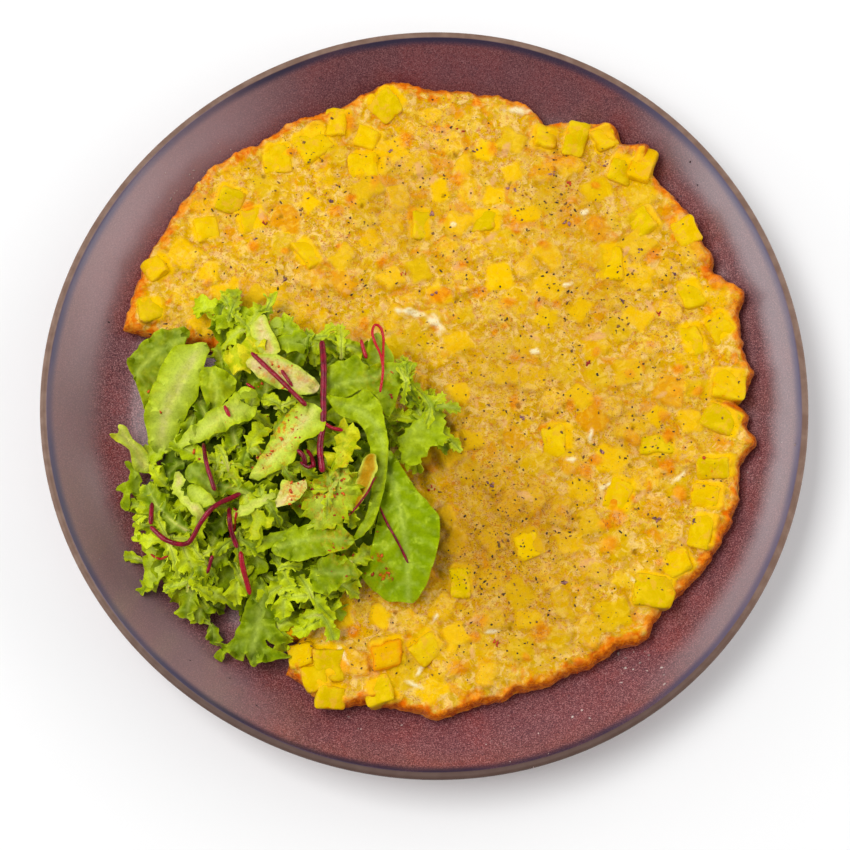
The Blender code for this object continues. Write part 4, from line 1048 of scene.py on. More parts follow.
def sunk_marks(plan, sunk, rng):
    """Where sunk dice show through the egg, how yellow each is, and how far they lift it."""
    share = np.zeros(len(plan))
    tone = np.full(len(plan), 0.5)
    lift = np.zeros(len(plan))
    for die in sunk:
        own_tone, clear = rng.random(), rng.uniform(*SUNK_CLEAR)
        near = np.hypot(plan[:, 0] - die[0], plan[:, 1] - die[1]) < SUNK_REACH
        gap = box_distance(plan[near], die) + 1.7 * waves(plan[near], 4.6, 35)
        own = smooth((0.5 - gap) / 1.6) * min(clear, 1.0)
        tone[near] = np.where(own > share[near], own_tone, tone[near])
        share[near] = np.maximum(share[near], own)
        lift[near] = np.maximum(lift[near], die[5] * smooth((0.9 - gap) / 2.2))
    return share, tone, lift


def climb_dice(plan, dice, rng, share, lift):
    """Lifts the egg up one side of each die that stands out, and adds its yellow to the share."""
    for die in dice:
        angle, cover = rng.uniform(0.0, 2.0 * math.pi), rng.uniform(*DICE_COVER)
        away = plan - np.array(die[:2])
        near = np.hypot(*away.T) < DICE_REACH
        gap = box_distance(plan[near], die)
        side = away[near, 0] * math.cos(angle) + away[near, 1] * math.sin(angle)
        side = side / (0.5 * (die[2] + die[3]))
        ragged = 0.4 * waves(plan[near], 3.2, 37)
        climb = die[5] * np.clip(0.5 + cover * side + ragged, 0.2, 1.3)
        lift[near] = np.maximum(lift[near], climb * smooth((1.6 - gap) / 2.0))
        share[near] = np.maximum(share[near], smooth((1.5 - gap) / 2.0) * smooth(1.2 - cover * side))


def crust_share(plan, inset):
    """Where the browned edge shows as a ragged band, from 0 to 1."""
    away = plan - np.asarray(OMELETTE_CENTRE)
    bearings = np.degrees(np.arctan2(away[:, 1], away[:, 0]))
    ragged = CRUST_WIDTH * (1.0 + 0.5 * waves(plan, 5.0, 43))
    share = np.zeros(len(plan))
    for bearing, half_width in CRUST_SECTORS:
        gap = np.abs(bearing_gap(bearings, bearing)) / half_width
        share = np.maximum(share, smooth((ragged * smooth((1.3 - gap) / 0.5) - inset) / 0.8))
    return share


def egg_marks(plan, inset, dice, sunk):
    """The values at each point that the egg's look takes, and how far the dice lift the egg."""
    rng = random.Random(DICE_SEED + 2)
    share, tone, lift = sunk_marks(plan, sunk, rng)
    climb_dice(plan, dice, rng, share, lift)
    pits, flakes, toasts = (loose_spots(rng, *kind) for kind in (SMALL_PITS, SMALL_FLAKES, SMALL_TOASTS))
    dust = np.zeros(len(plan))
    for x, y, spread in PEPPER_CLUSTERS:
        dust += np.exp(-((plan[:, 0] - x) ** 2 + (plan[:, 1] - y) ** 2) / (1.6 * spread) ** 2)
    marks = {"die": share, "tone": tone, "dust": dust, "crust": crust_share(plan, inset),
             "pit": spots_on(plan, pits, 0.3, 38, 0.4),
             "flake": spots_on(plan, flakes + FLAKES, 0.35, 39, 0.4),
             "toast": spots_on(plan, toasts + TOASTS, 0.3, 42, 0.8),
             "white": spots_on(plan, WHITE_PATCHES, 0.7, 33, 0.8)}
    return marks, lift * np.minimum(inset / 3.0, 1.0)


def make_egg(outline, dice, sunk):
    """The egg cake: fine upper face, craggy side and plain underside."""
    inner = plan_points(outline, EGG_STEP, 51, 0.5)
    plan = np.concatenate((np.asarray(outline), inner))
    inset = np.concatenate((np.zeros(len(outline)), edge_distance(inner, outline)))
    marks, lift = egg_marks(plan, inset, dice, sunk)
    curds = sum(height * waves(plan, width, seed) for height, width, seed in CURDS)
    nodules = np.clip(waves(plan, 3.4, 36) + 0.2, 0.0, 1.0) * smooth((7.5 - inset) / 5.0) * 2.8
    level = egg_levels(plan, inset) + lift
    relief = curds * (1.0 - 0.6 * marks["die"]) + nodules - 0.7 * marks["pit"]
    relief += 0.4 * marks["white"] + 0.25 * marks["flake"] + 0.6 * marks["toast"]
    marks["relief"] = relief + lift
    level += relief * np.minimum(inset / 1.5, 1.0)
    points = [(x, y, z) for (x, y), z in zip(plan, level)]
    faces = fill_plan(outline, inner)
    values = {key: list(own) for key, own in marks.items()}
    values["inset"] = list(inset)
    add_side(points, faces, values, outline, omelette_outline(FINE_STEP))
    piece = make_piece("egg", points, faces, egg_look(), values, creases=False)
    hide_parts("omelette")
    return piece


def add_plain(values, inset, count):
    """Values for points below the upper face, which have no die or mark on them."""
    plain = {"tone": 0.5, "inset": inset}
    for key, own in values.items():
        own += [plain.get(key, 0.0)] * count


def add_side(points, faces, values, outline, smooth_outline):
    """The craggy upright side below the outline, the turned-up belly and the underside."""
    corners = np.asarray(outline)
    calm = np.asarray(smooth_outline)
    along = np.roll(calm, -6, axis=0) - np.roll(calm, 6, axis=0)
    along /= np.hypot(*along.T)[:, None]
    inward = np.stack((-along[:, 1], along[:, 0]), axis=1)
    count = len(outline)
    above = list(range(count))
    floor = plate_top(corners[:, 0], corners[:, 1]) + GAP
    top = np.array([points[i][2] for i in above])
    for share, inset in SIDE_RINGS:
        ring = calm + (corners - calm) * share + inward * inset
        if 0.0 < share < 0.9:
            ring = ring - inward * (0.55 * waves(corners + share * 40.0, 2.4, 34))[:, None]
        level = floor + (top - floor) * share
        below = plate_top(ring[:, 0], ring[:, 1]) + GAP
        start = len(points)
        points += [(x, y, z) for (x, y), z in zip(ring, np.maximum(level, below))]
        for i in range(count):
            after = (i + 1) % count
            faces.append((above[i], start + i, start + after, above[after]))
        above = list(range(start, start + count))
        add_plain(values, share - 1.0, count)
    ring = [(points[i][0], points[i][1]) for i in above]
    inner = plan_points(ring, 9.0, 52, 4.0)
    start = len(points)
    points += [(x, y, float(plate_top(x, y)) + GAP) for x, y in inner]
    add_plain(values, -1.0, len(inner))
    lookup = above + list(range(start, start + len(inner)))
    faces += [tuple(lookup[i] for i in reversed(face)) for face in fill_plan(ring, inner)]


def rounded_box(count, edge):
    """A unit cube from -1 to 1 as a grid on each side, with its corners rounded by edge."""
    steps = np.sin(np.linspace(-0.5, 0.5, count + 1) * math.pi)
    points = []
    faces = []
    for axis in range(3):
        for sign in (-1.0, 1.0):
            start = len(points)
            for a in steps:
                for b in steps:
                    p = [0.0, 0.0, 0.0]
                    p[axis], p[(axis + 1) % 3], p[(axis + 2) % 3] = sign, a * sign, b
                    points.append(p)
            faces += grid_faces(count + 1, count + 1, start)
    points = np.array(points)
    core = np.clip(points, -1.0 + edge, 1.0 - edge)
    away = points - core
    length = np.linalg.norm(away, axis=1)
    moved = length > 1e-9
    points[moved] = core[moved] + away[moved] / length[moved, None] * edge
    keys = {}
    index = []
    kept = []
    for p in points:
        key = tuple(np.round(p, 5))
        if key not in keys:
            keys[key] = len(kept)
            kept.append(p)
        index.append(keys[key])
    return np.array(kept), [tuple(index[i] for i in face) for face in faces]


def die_points(unit, die, level, floor, rng):
    """A die's points from floor up to about level: skewed, tapered, tipped and a little rough."""
    x, y, side_x, side_y, turn, _ = die
    tops = [rng.uniform(-DICE_UNEVEN, DICE_UNEVEN) for _ in range(4)]
    u, v, w = (unit[:, 0] + 1) / 2, (unit[:, 1] + 1) / 2, (unit[:, 2] + 1) / 2
    across, along = unit[:, 0].copy(), unit[:, 1].copy()
    for corner_u in (0, 1):
        for corner_v in (0, 1):
            weight = (u if corner_u else 1 - u) * (v if corner_v else 1 - v)
            across += weight * (rng.uniform(*DICE_SKEW) + w * rng.uniform(*DICE_TAPER))
            along += weight * (rng.uniform(*DICE_SKEW) + w * rng.uniform(*DICE_TAPER))
    tilt = tops[0] * (1 - u) * (1 - v) + tops[1] * u * (1 - v) + tops[2] * u * v + tops[3] * (1 - u) * v
    tips = rng.uniform(-DICE_TIP, DICE_TIP), rng.uniform(-DICE_TIP, DICE_TIP)
    tilt += tips[0] * unit[:, 0] + tips[1] * unit[:, 1]
    across = across * side_x / 2 - tips[0] * w
    along = along * side_y / 2 - tips[1] * w
    angle = math.radians(turn)
    points = np.stack((x + across * math.cos(angle) - along * math.sin(angle),
                       y + across * math.sin(angle) + along * math.cos(angle),
                       floor + (level + tilt - floor) * w), axis=1)
    rough = np.array([noise.noise(Vector(p) / 4.4) + 0.4 * noise.noise(Vector(p) / 1.7) for p in points])
    return points + 0.8 * rough[:, None] * unit


def make_dice(dice, outline):
    """The potato dice that stand out of the egg, each cut a little out of true."""
    shapes = Shapes("tone", "edge", "low")
    unit, faces = rounded_box(10, 0.3)
    on_edge = smooth((np.sort(np.abs(unit), axis=1)[:, 1] - 0.6) / 0.4)
    tones = random.Random(DICE_SEED + 3)
    for index, die in enumerate(dice):
        x, y, side_x, side_y, _, rise = die
        inset = float(edge_distance([(x, y)], outline)[0])
        level = float(egg_levels([(x, y)], np.array([max(inset, EDGE_ROUND)]))[0]) + rise
        floor = float(rim_level(math.hypot(x, y) + 0.35 * (side_x + side_y))) + GAP + 1.2
        points = die_points(unit, die, level, floor, random.Random(index))
        # How far down the die's side each point is, for its painted shade
        low = np.clip((level - 0.6 - points[:, 2]) / 2.0, 0.0, 1.0)
        shapes.add(points, faces, tone=tones.random(), edge=on_edge, low=low)
    return shapes.piece("potato_dice", potato_look(), "omelette", creases=False)


def surface_tree(pieces):
    """A search tree over the faces of several pieces, in millimetres."""
    points = []
    faces = []
    for piece in pieces:
        start = len(points)
        mesh = piece.data
        own = np.empty(len(mesh.vertices) * 3, np.float32)
        mesh.vertices.foreach_get("co", own)
        points += [tuple(p) for p in (own.reshape(-1, 3) / MM)]
        faces += [tuple(start + i for i in face.vertices) for face in mesh.polygons]
    return BVHTree.FromPolygons(points, faces)


def level_at(tree, x, y, default=0.0):
    """Height of the highest face over a place in plan."""
    hit = tree.ray_cast(Vector((x, y, 200.0)), Vector((0.0, 0.0, -1.0)))[0]
    return hit.z if hit else default


# The salad

def smooth_curve(corners, step):
    """Points of a smooth curve from the second corner on, up to the last but one."""
    curve = []
    for before, here, ahead, beyond in zip(corners, corners[1:], corners[2:], corners[3:]):
        count = max(2, round(math.dist(here, ahead) / step))
        for share in np.arange(count) / count:
            curve.append(0.5 * (2 * here + (ahead - before) * share
                                + (2 * before - 5 * here + 4 * ahead - beyond) * share ** 2
                                + (3 * here - before - 3 * ahead + beyond) * share ** 3))
    return curve


def smooth_loop(points, step):
    """A closed smooth curve through the points, at about step apart."""
    corners = np.asarray(points, float)
    return np.array(smooth_curve(np.concatenate((corners[-1:], corners, corners[:2])), step))


def smooth_run(points, step):
    """An open smooth curve through the points, at about step apart."""
    corners = np.asarray(points, float)
    corners = np.concatenate(([2 * corners[0] - corners[1]], corners, [2 * corners[-1] - corners[-2]]))
    return np.array(smooth_curve(corners, step) + [corners[-2]])


def thicken(points, faces, thickness):
    """Both faces of a thin sheet, split alike and joined all round its margin."""
    points = np.asarray(points, float)
    normals = np.zeros_like(points)
    for face in faces:
        a, b, c = points[face[0]], points[face[1]], points[face[2]]
        normal = np.cross(b - a, c - a)
        for i in face:
            normals[i] += normal
    normals /= np.maximum(np.linalg.norm(normals, axis=1), 1e-9)[:, None]
    half = normals * thickness / 2.0
    count = len(points)
    border = {}
    for face in faces:
        for one, other in zip(face, face[1:] + face[:1]):
            if (other, one) in border:
                del border[(other, one)]
            else:
                border[(one, other)] = True
    solid = list(faces)
    solid += [tuple(count + i for i in reversed(face)) for face in faces]
    solid += [(other, one, count + one, count + other) for one, other in border]
    return np.concatenate((points + half, points - half)), solid


def rib_curve(base, middle, tip, count=60):
    """Points of the leaf's rib from base to tip, through middle half way."""
    share = np.linspace(0.0, 1.0, count)[:, None]
    base, middle, tip = (np.asarray(p, float) for p in (base, middle, tip))
    bend = 2.0 * middle - 0.5 * (base + tip)
    return (1 - share) ** 2 * base + 2 * share * (1 - share) * bend + share ** 2 * tip


def toothed(edge, depth, seed):
    """The margin moved out and in by small uneven teeth."""
    along = np.roll(edge, -2, axis=0) - np.roll(edge, 2, axis=0)
    along /= np.maximum(np.hypot(*along.T), 1e-9)[:, None]
    outward = np.stack((along[:, 1], -along[:, 0]), axis=1)
    steps = np.hypot(*(np.roll(edge, -1, axis=0) - edge).T)
    run = np.cumsum(steps) - steps[0]
    length = run[-1] + steps[-1]
    teeth = max(3, round(length / 4.2))
    uneven = np.array([noise.noise(Vector((r / 4.0, seed * 3.1, 0.0))) for r in run])
    tooth = zigzag(teeth * run / length + 0.8 * uneven)
    depth_here = depth * (1.1 + 1.5 * uneven)
    return edge + outward * (depth_here * (1.3 * tooth ** 1.3 - 0.5))[:, None], run, length


def spice_on(points):
    """How much paprika there is at each point of a leaf, from 0 to 1."""
    share = np.zeros(len(points))
    for x, y, spread, count in PAPRIKA_CLUSTERS:
        away = (points[:, 0] - x) ** 2 + (points[:, 1] - y) ** 2
        share = np.maximum(share, min(1.0, 0.9 * count / spread ** 2) * np.exp(-away / (1.4 * spread) ** 2))
    return share


def rib_places(plan, rib):
    """Which point of the rib is nearest to each point of a leaf, and how far to its left that is."""
    gap = np.linalg.norm(plan[:, None] - rib[None, :, :2], axis=2)
    nearest = gap.argmin(axis=1)
    ahead = np.gradient(rib[:, :2], axis=0)[nearest]
    ahead /= np.maximum(np.hypot(*ahead.T), 1e-9)[:, None]
    away = plan - rib[nearest, :2]
    return nearest, ahead[:, 0] * away[:, 1] - ahead[:, 1] * away[:, 0]


def leaf_veins(plan, inset, along, across, seed):
    """How much of a rib or a side vein is at each point of a leaf, from 0 to 1."""
    side_run = along - 0.75 * np.abs(across) + 40.0
    place = (side_run + 0.8 * waves(plan, 5.0, seed)) % VEIN_SPACING / VEIN_SPACING
    side_vein = np.exp(-((place - 0.5) / 0.09) ** 2) * smooth(inset / 2.5)
    main_vein = np.exp(-(across / 0.9) ** 2) * smooth(inset / 2.0)
    return np.maximum(main_vein, 0.6 * side_vein)


def leaf_curl(run, length, seed):
    """Uneven waves along a leaf's margin, which is length long."""
    phase = 2.0 * math.pi * max(2, round(length / RUFFLE_LENGTH)) * run / length
    uneven = np.array([noise.noise(Vector((r / 9.0, seed * 1.7, 0.0))) for r in run])
    return np.sin(phase + 3.0 * uneven) + 0.4 * np.sin(2.3 * phase + 5.0 * uneven + seed)


def leaf_plan(edge, run, seed):
    """A leaf's points and faces in plan, how far in each point is, and the nearest run of the margin."""
    inner = plan_points([tuple(p) for p in edge], LEAF_STEP * 1.15, seed, 0.55)
    inset, at_run = np.zeros(len(edge)), run
    if len(inner):
        gap = np.linalg.norm(inner[:, None] - edge[None], axis=2)
        inset = np.concatenate((inset, gap.min(axis=1)))
        at_run = np.concatenate((run, run[gap.argmin(axis=1)]))
    faces = fill_plan([tuple(p) for p in edge], inner)
    return np.concatenate((edge, inner)), faces, inset, at_run


def leaf_sheet(shape, ground, seed):
    """A leaf of its own outline, bowed over its rib, quilted by its veins and ruffled at its margin."""
    outline, ribs, roll, ruffle, teeth, tone, pale, warm = shape
    if signed_area(outline) < 0.0:
        outline = outline[::-1]
    edge, run, length = toothed(smooth_loop(outline, LEAF_STEP), teeth, seed)
    plan, faces, inset, at_run = leaf_plan(edge, run, seed)
    rib = rib_curve(*ribs)
    nearest, across = rib_places(plan, rib)
    along = nearest / (len(rib) - 1.0) * float(np.linalg.norm(np.diff(rib, axis=0), axis=1).sum())
    vein = leaf_veins(plan, inset, along, across, seed)
    level = rib[nearest, 2] + across * math.tan(math.radians(roll)) - 0.014 * across ** 2
    level += ruffle * leaf_curl(at_run, length, seed) * np.exp(-inset / 3.6)
    level += 0.7 * (1.0 - vein) + 1.3 * waves(plan, 8.0, seed + 20) + 0.35 * waves(plan, 3.0, seed + 21)
    floor = np.array([level_at(ground, x, y) for x, y in plan]) + LEAF_GAP
    points = np.column_stack((plan, np.clip(level, floor, SALAD_TOP)))
    solid, solid_faces = thicken(points, faces, LEAF_SKIN)
    own_pale = pale * (0.72 + 0.6 * np.exp(-(across / 3.5) ** 2)) - 0.35 * np.exp(-inset / 1.6)
    # The tone rises just inside the margin: a painted highlight where the margin catches the light
    values = {"vein": vein, "tone": tone + 0.35 * np.exp(-inset / 0.9),
              "pale": np.clip(own_pale, 0.0, 1.0), "warm": np.full(len(plan), warm),
              "side": np.zeros(len(plan)), "spice": spice_on(plan)}
    doubled = {key: np.concatenate((own, own)) for key, own in values.items()}
    doubled["side"][len(plan):] = 1.0
    return solid, solid_faces, doubled


def signed_area(outline):
    """Twice the area inside a closed outline, above 0 when it runs anticlockwise."""
    return sum(x1 * y2 - x2 * y1 for (x1, y1), (x2, y2) in zip(outline, outline[1:] + outline[:1]))


def sprig_frame(start, heading, length, s, bend, rise, fall, turn):
    """Where a strip's rib is at the share s of its length, and which way is ahead, aside and up."""
    run = s * length
    angle = heading + bend * s
    middle = heading + 0.5 * bend * s
    here = Vector((start[0] + run * math.cos(middle), start[1] + run * math.sin(middle),
                   start[2] + rise * math.sin(math.pi * min(s * 1.1, 1.0)) - fall * s * s))
    ahead = Vector((math.cos(angle), math.sin(angle), 0.0))
    side = Vector((-math.sin(angle) * math.cos(turn), math.cos(angle) * math.cos(turn), math.sin(turn)))
    return here, ahead, side, ahead.cross(side)


def sprig_sheet(rng, start, heading, length, width, curly, fringe):
    """A curly strip of leaf: a pale rib with ruffled, lobed and toothed blades on both sides."""
    steps = max(14, round(length / SPRIG_STEP))
    bend = rng.uniform(-1.1, 1.1)
    rise = rng.uniform(0.12, 0.3) * length
    fall = rng.uniform(0.15, 0.5) * length
    twist = rng.uniform(-0.7, 0.7)
    cup = rng.uniform(-0.1, 0.4)
    lobe_length, tooth_length = rng.uniform(5.5, 9.0), rng.uniform(1.9, 2.9)
    roll_length = rng.uniform(4.2, 6.6)
    offsets = [rng.uniform(0.0, 2.0 * math.pi) for _ in range(8)]
    points, pale, light, vein = [], [], [], []
    for i in range(steps + 1):
        s = i / steps
        run = s * length
        turn = twist * s + 0.35 * math.sin(3.0 * s + offsets[4])
        here, ahead, side, up = sprig_frame(start, heading, length, s, bend, rise, fall, turn)
        envelope = math.sin(math.pi * (0.07 + 0.89 * s)) ** 0.55 * (0.5 + 0.5 * s)
        for v in SPRIG_COLUMNS:
            hand, out = int(v >= 0), abs(v)
            lobe = zigzag(run / lobe_length + offsets[hand])
            tooth = zigzag(run / tooth_length + offsets[hand + 2])
            wide = width * envelope * (0.5 + 0.5 * lobe)
            reach = wide * out + fringe * envelope * out ** 4 * (1.5 * tooth ** 1.4 - 0.4)
            phase = 2.0 * math.pi * run / roll_length + offsets[4 + hand]
            phase += 1.2 * math.sin(0.37 * phase + offsets[6])
            amount = curly * wide * out ** 1.7
            lift = amount * (math.sin(phase) + 0.35 * math.sin(2.3 * phase + offsets[7]))
            slide = 0.6 * amount * math.cos(phase) + 0.4 * reach * out
            groove = -0.4 * math.exp(-(v / 0.14) ** 2)
            away = math.copysign(reach, v)
            points.append(here + side * away + up * (lift + cup * reach * out + groove) + ahead * slide)
            pale.append(math.exp(-(reach / 1.1) ** 2) * (1.0 - 0.5 * s))
            vein.append(math.exp(-((lobe - 1.0) / 0.16) ** 2) * (1.0 - out))
            light.append(0.55 * out + 0.2 * s - 0.35)
    return points, grid_faces(steps + 1, len(SPRIG_COLUMNS)), pale, light, vein


def tube(path, radii, sides=10):
    """A closed tube along a path, with rounded ends."""
    path = [Vector(p) for p in path]
    points, faces = [], []
    count = len(path)
    for i, here in enumerate(path):
        ahead = (path[min(i + 1, count - 1)] - path[max(i - 1, 0)]).normalized()
        side = ahead.cross(Vector((0.0, 0.0, 1.0))).normalized()
        up = side.cross(ahead)
        for j in range(sides):
            angle = 2.0 * math.pi * j / sides
            points.append(here + (side * math.cos(angle) + up * math.sin(angle)) * radii[i])
    for i in range(count - 1):
        for j in range(sides):
            a, b = i * sides + j, i * sides + (j + 1) % sides
            faces.append((a, b, b + sides, a + sides))
    faces.append(tuple(reversed(range(sides))))
    faces.append(tuple((count - 1) * sides + j for j in range(sides)))
    return points, faces


def leaf_look(name, deep, light, gloss, grain):
    """Salad leaf: deep to light green, paler along ribs and veins, cream and yellow where blanched."""
    look = Look(name, Roughness=gloss, Specular_IOR_Level=0.42, Specular_Tint=LEAF_TINT)
    pale, warm = look.value("pale"), look.value("warm")
    green = look.plus(look.value("tone"), look.centred(look.noise(6.0, 3.0, 0.6), 1.1))
    tint = look.over(deep, light, green, 0.0, 1.0)
    tint = look.mix(look.times(look.value("vein"), 0.5), tint, (194, 214, 94))
    tint = look.mix(warm, tint, look.over((190, 196, 8), (236, 218, 30), look.noise(3.0, 3.0), 0.38, 0.62))
    cream = look.over((208, 202, 96), (226, 208, 140), look.noise(4.0, 3.0), 0.4, 0.64)
    stained = look.times(look.span(look.noise(5.0, 3.0, 0.65, 0.6), 0.5, 0.66),
                         look.span(pale, 0.75, 1.0, 0.0, 0.6))
    cream = look.mix(stained, cream, (208, 130, 84))
    cream = look.over(cream, (186, 132, 10), warm, 0.8, 1.0)
    cream = look.over(cream, (204, 218, 92), pale, 0.95, 0.55)
    tint = look.over(tint, cream, pale, 0.05, 1.0)
    tint = look.mix(look.times(look.value("side"), 0.3), tint, (176, 198, 88))
    fine = look.noise(0.8, 3.0, 0.65)
    spice = look.times(look.span(look.noise(2.4, 4.0, 0.7, 0.5), 0.5, 0.6, 0.0, 0.85), look.value("spice"))
    tint = look.mix(spice, tint, look.over((226, 112, 10), (196, 50, 4), fine, 0.4, 0.6))
    tint = look.over(tint, (88, 106, 0), fine, 0.42, 0.7, 0.25)
    height = look.plus(look.times(look.cells(grain), 0.8), look.times(fine, 0.35))
    return look.finish(tint, height, 0.35)


def stem_look():
    """Beet stem: dark magenta, lighter where the stem's own value says so."""
    look = Look("stem", Roughness=0.26, Specular_Tint=STEM_TINT, Coat_Weight=0.15, Coat_Roughness=0.12)
    tint = look.over((94, 0, 24), (136, 0, 38), look.noise(2.2, 3.0, 0.6), 0.4, 0.64)
    tint = look.mix(look.value("light"), tint, (196, 26, 36))
    tint = look.over(tint, (80, 0, 26), look.noise(0.7, 2.0), 0.55, 0.7, 0.4)
    return look.finish(tint, look.noise(0.9, 3.0), 0.25)


def in_core(angle, share, inset):
    """A place in plan at a share of the way out to the core's oval edge less inset."""
    return (CORE_CENTRE[0] + share * (CORE_RADII[0] - inset) * math.cos(angle),
            CORE_CENTRE[1] + share * (CORE_RADII[1] - inset) * math.sin(angle))


def make_salad_core(ground):
    """The crumpled mass of leaves deep in the heap, dark green as painted shade in the gaps between the
    leaves above.
    """
    turns = np.linspace(0.0, 2.0 * math.pi, CORE_SIDES + 1)[:-1]
    edge = [in_core(angle, 1.0, CORE_INSET) for angle in turns]
    inner = plan_points(edge, 1.4, 61, 0.9)
    plan = np.concatenate((np.asarray(edge), inner))
    across = (plan - np.asarray(CORE_CENTRE)) / (np.asarray(CORE_RADII) - CORE_INSET)
    dome = np.sqrt(np.clip(1.0 - (across ** 2).sum(axis=1), 0.0, 1.0))
    folds = np.abs(waves(plan, 6.0, 62)) * 6.0 + np.abs(waves(plan, 2.6, 63)) * 2.4
    floor = np.array([level_at(ground, x, y) for x, y in plan]) + GAP
    top = CORE_BOTTOM + (CORE_TOP - 5.0 - CORE_BOTTOM) * dome ** 0.8 + (folds - 3.4) * dome
    top = np.maximum(top, floor + 0.6)
    faces = fill_plan(edge, inner)
    count = len(plan)
    points = np.concatenate((np.column_stack((plan, top)), np.column_stack((plan, floor))))
    solid = faces + [tuple(count + i for i in reversed(face)) for face in faces]
    solid += [((i + 1) % len(edge), i, count + i, count + (i + 1) % len(edge)) for i in range(len(edge))]
    values = dict.fromkeys(LEAF_VALUES, 0.0)
    # A low tone: painted shade deep in the heap
    values["tone"] = 0.15
    shapes = Shapes(*LEAF_VALUES)
    shapes.add(points, solid, **values)
    # Dark greens, painted shade deep in the heap
    return shapes.piece("salad_core", leaf_look("shaded_core_leaf", (52, 72, 0), (96, 116, 0), 0.5, 3.0), "salad")


def make_leaves(ground):
    """The broad leaves."""
    shapes = Shapes(*LEAF_VALUES)
    for seed, shape in enumerate(LEAVES):
        points, faces, values = leaf_sheet(shape, ground, seed)
        shapes.add(points, faces, **values)
    return shapes.piece("salad_leaves", leaf_look("leaf", (84, 110, 0), (172, 192, 12), 0.3, 3.4), "salad")


def make_chard(ground):
    """The broad glossy leaf at the right; its dark red vein is one of the stems laid over it."""
    points, faces, values = leaf_sheet(CHARD_LEAF, ground, 40)
    shapes = Shapes(*LEAF_VALUES)
    shapes.add(points, faces, **values)
    return shapes.piece("chard_leaf", leaf_look("chard", (104, 136, 0), (156, 180, 4), 0.2, 5.0), "salad")


def add_sprig(shapes, ground, rng, start, heading, length, width, tones):
    """One curly strip, kept above what it lies on."""
    fringe, curly = rng.uniform(0.8, 1.6), rng.uniform(0.3, 0.55)
    points, faces, pale, light, vein = sprig_sheet(rng, start, heading, length, width, curly, fringe)
    points = np.array([tuple(p) for p in points])
    floor = np.array([level_at(ground, p[0], p[1]) for p in points]) + SPRIG_GAP
    points[:, 2] = np.clip(points[:, 2], floor, SALAD_TOP)
    solid, solid_faces = thicken(points, faces, SPRIG_SKIN)
    pale = 0.9 * np.concatenate((pale, pale)) * rng.uniform(0.5, 1.1)
    tone = rng.uniform(*tones) + np.concatenate((light, light))
    vein = np.concatenate((vein, vein))
    side = np.concatenate((np.zeros(len(points)), np.ones(len(points))))
    spice = 0.6 * spice_on(solid)
    shapes.add(solid, solid_faces, vein=vein, tone=tone, pale=pale, warm=0.0, side=side, spice=spice)


def make_sprigs(ground):
    """Curly sprigs, each clump spreading from its middle."""
    rng = random.Random(SALAD_SEED)
    shapes = Shapes(*LEAF_VALUES)
    for x, y, z, radius, count, width in CLUMPS:
        first = rng.uniform(0.0, 2.0 * math.pi)
        for i in range(count):
            heading = first + 2.0 * math.pi * i / count + rng.uniform(-0.5, 0.5)
            back = rng.uniform(0.0, 0.45) * radius
            start = (x - back * math.cos(heading), y - back * math.sin(heading), z + rng.uniform(-2.5, 1.0))
            length = radius * rng.uniform(0.75, 1.2) + back
            wide = width * rng.uniform(0.8, 1.4)
            add_sprig(shapes, ground, rng, start, heading, length, wide, SPRIG_TONES)
    return shapes.piece("frisee", leaf_look("frisee", (98, 126, 0), (198, 212, 18), 0.3, 2.4), "salad")


def make_fill(ground):
    """Broader curly leaves low in the heap, spread over its core and outwards."""
    rng = random.Random(SALAD_SEED + 1)
    shapes = Shapes(*LEAF_VALUES)
    placed = []
    for _ in range(FILL_TRIES):
        angle, share = rng.uniform(0.0, 2.0 * math.pi), math.sqrt(rng.random())
        place = in_core(angle, share, FILL_INSET)
        if not is_crowded(place, placed, FILL_SPACING):
            placed.append(place)
            dome = math.sqrt(1.0 - share ** 2)
            level = CORE_BOTTOM + (CORE_TOP - CORE_BOTTOM) * dome ** 0.8 - 3.0
            heading = angle + rng.uniform(-1.2, 1.2)
            width, length = rng.uniform(*FILL_WIDTH), rng.uniform(*FILL_LENGTH)
            add_sprig(shapes, ground, rng, (*place, level), heading, length, width, FILL_TONES)
    look = leaf_look("curly_leaf", (80, 106, 0), (172, 192, 8), 0.3, 3.0)
    return shapes.piece("curly_leaves", look, "salad")


def stem_level(heap, path, width):
    """How high a stem lies along its path: a thin one follows the heap, a thick one spans its dips."""
    thin = width < 1.0
    reach, window = (0.3, 1) if thin else (1.2, 4)
    around_it = [(a, b) for a in (-reach, 0, reach) for b in (-reach, 0, reach)]
    level = np.array([max(level_at(heap, x + a, y + b) for a, b in around_it) for x, y in path])
    for pick in (np.mean,) if thin else (np.max, np.mean):
        padded = np.concatenate((np.full(window, level[0]), level, np.full(window, level[-1])))
        level = np.array([pick(padded[i:i + 2 * window + 1]) for i in range(len(level))])
    return np.minimum(level + 0.3 * width, SALAD_TOP - width / 2.0)


def make_stems(heap):
    """Red stems that lie on the leaves."""
    shapes = Shapes("light")
    for width, light, run in STEMS:
        path = smooth_run(run, STEM_STEP)
        ends = np.minimum(np.arange(len(path)), np.arange(len(path))[::-1])
        uneven = np.array([1.0 + 0.12 * wave(i, width, 3.0, 71) for i in range(len(path))])
        radii = width / 2.0 * np.sqrt(np.clip((ends + 0.35) / 1.4, 0.0, 1.0)) * uneven
        points, faces = tube(np.column_stack((path, stem_level(heap, path, width))), radii)
        shapes.add(points, faces, light=light)
    return shapes.piece("red_stems", stem_look(), "salad")


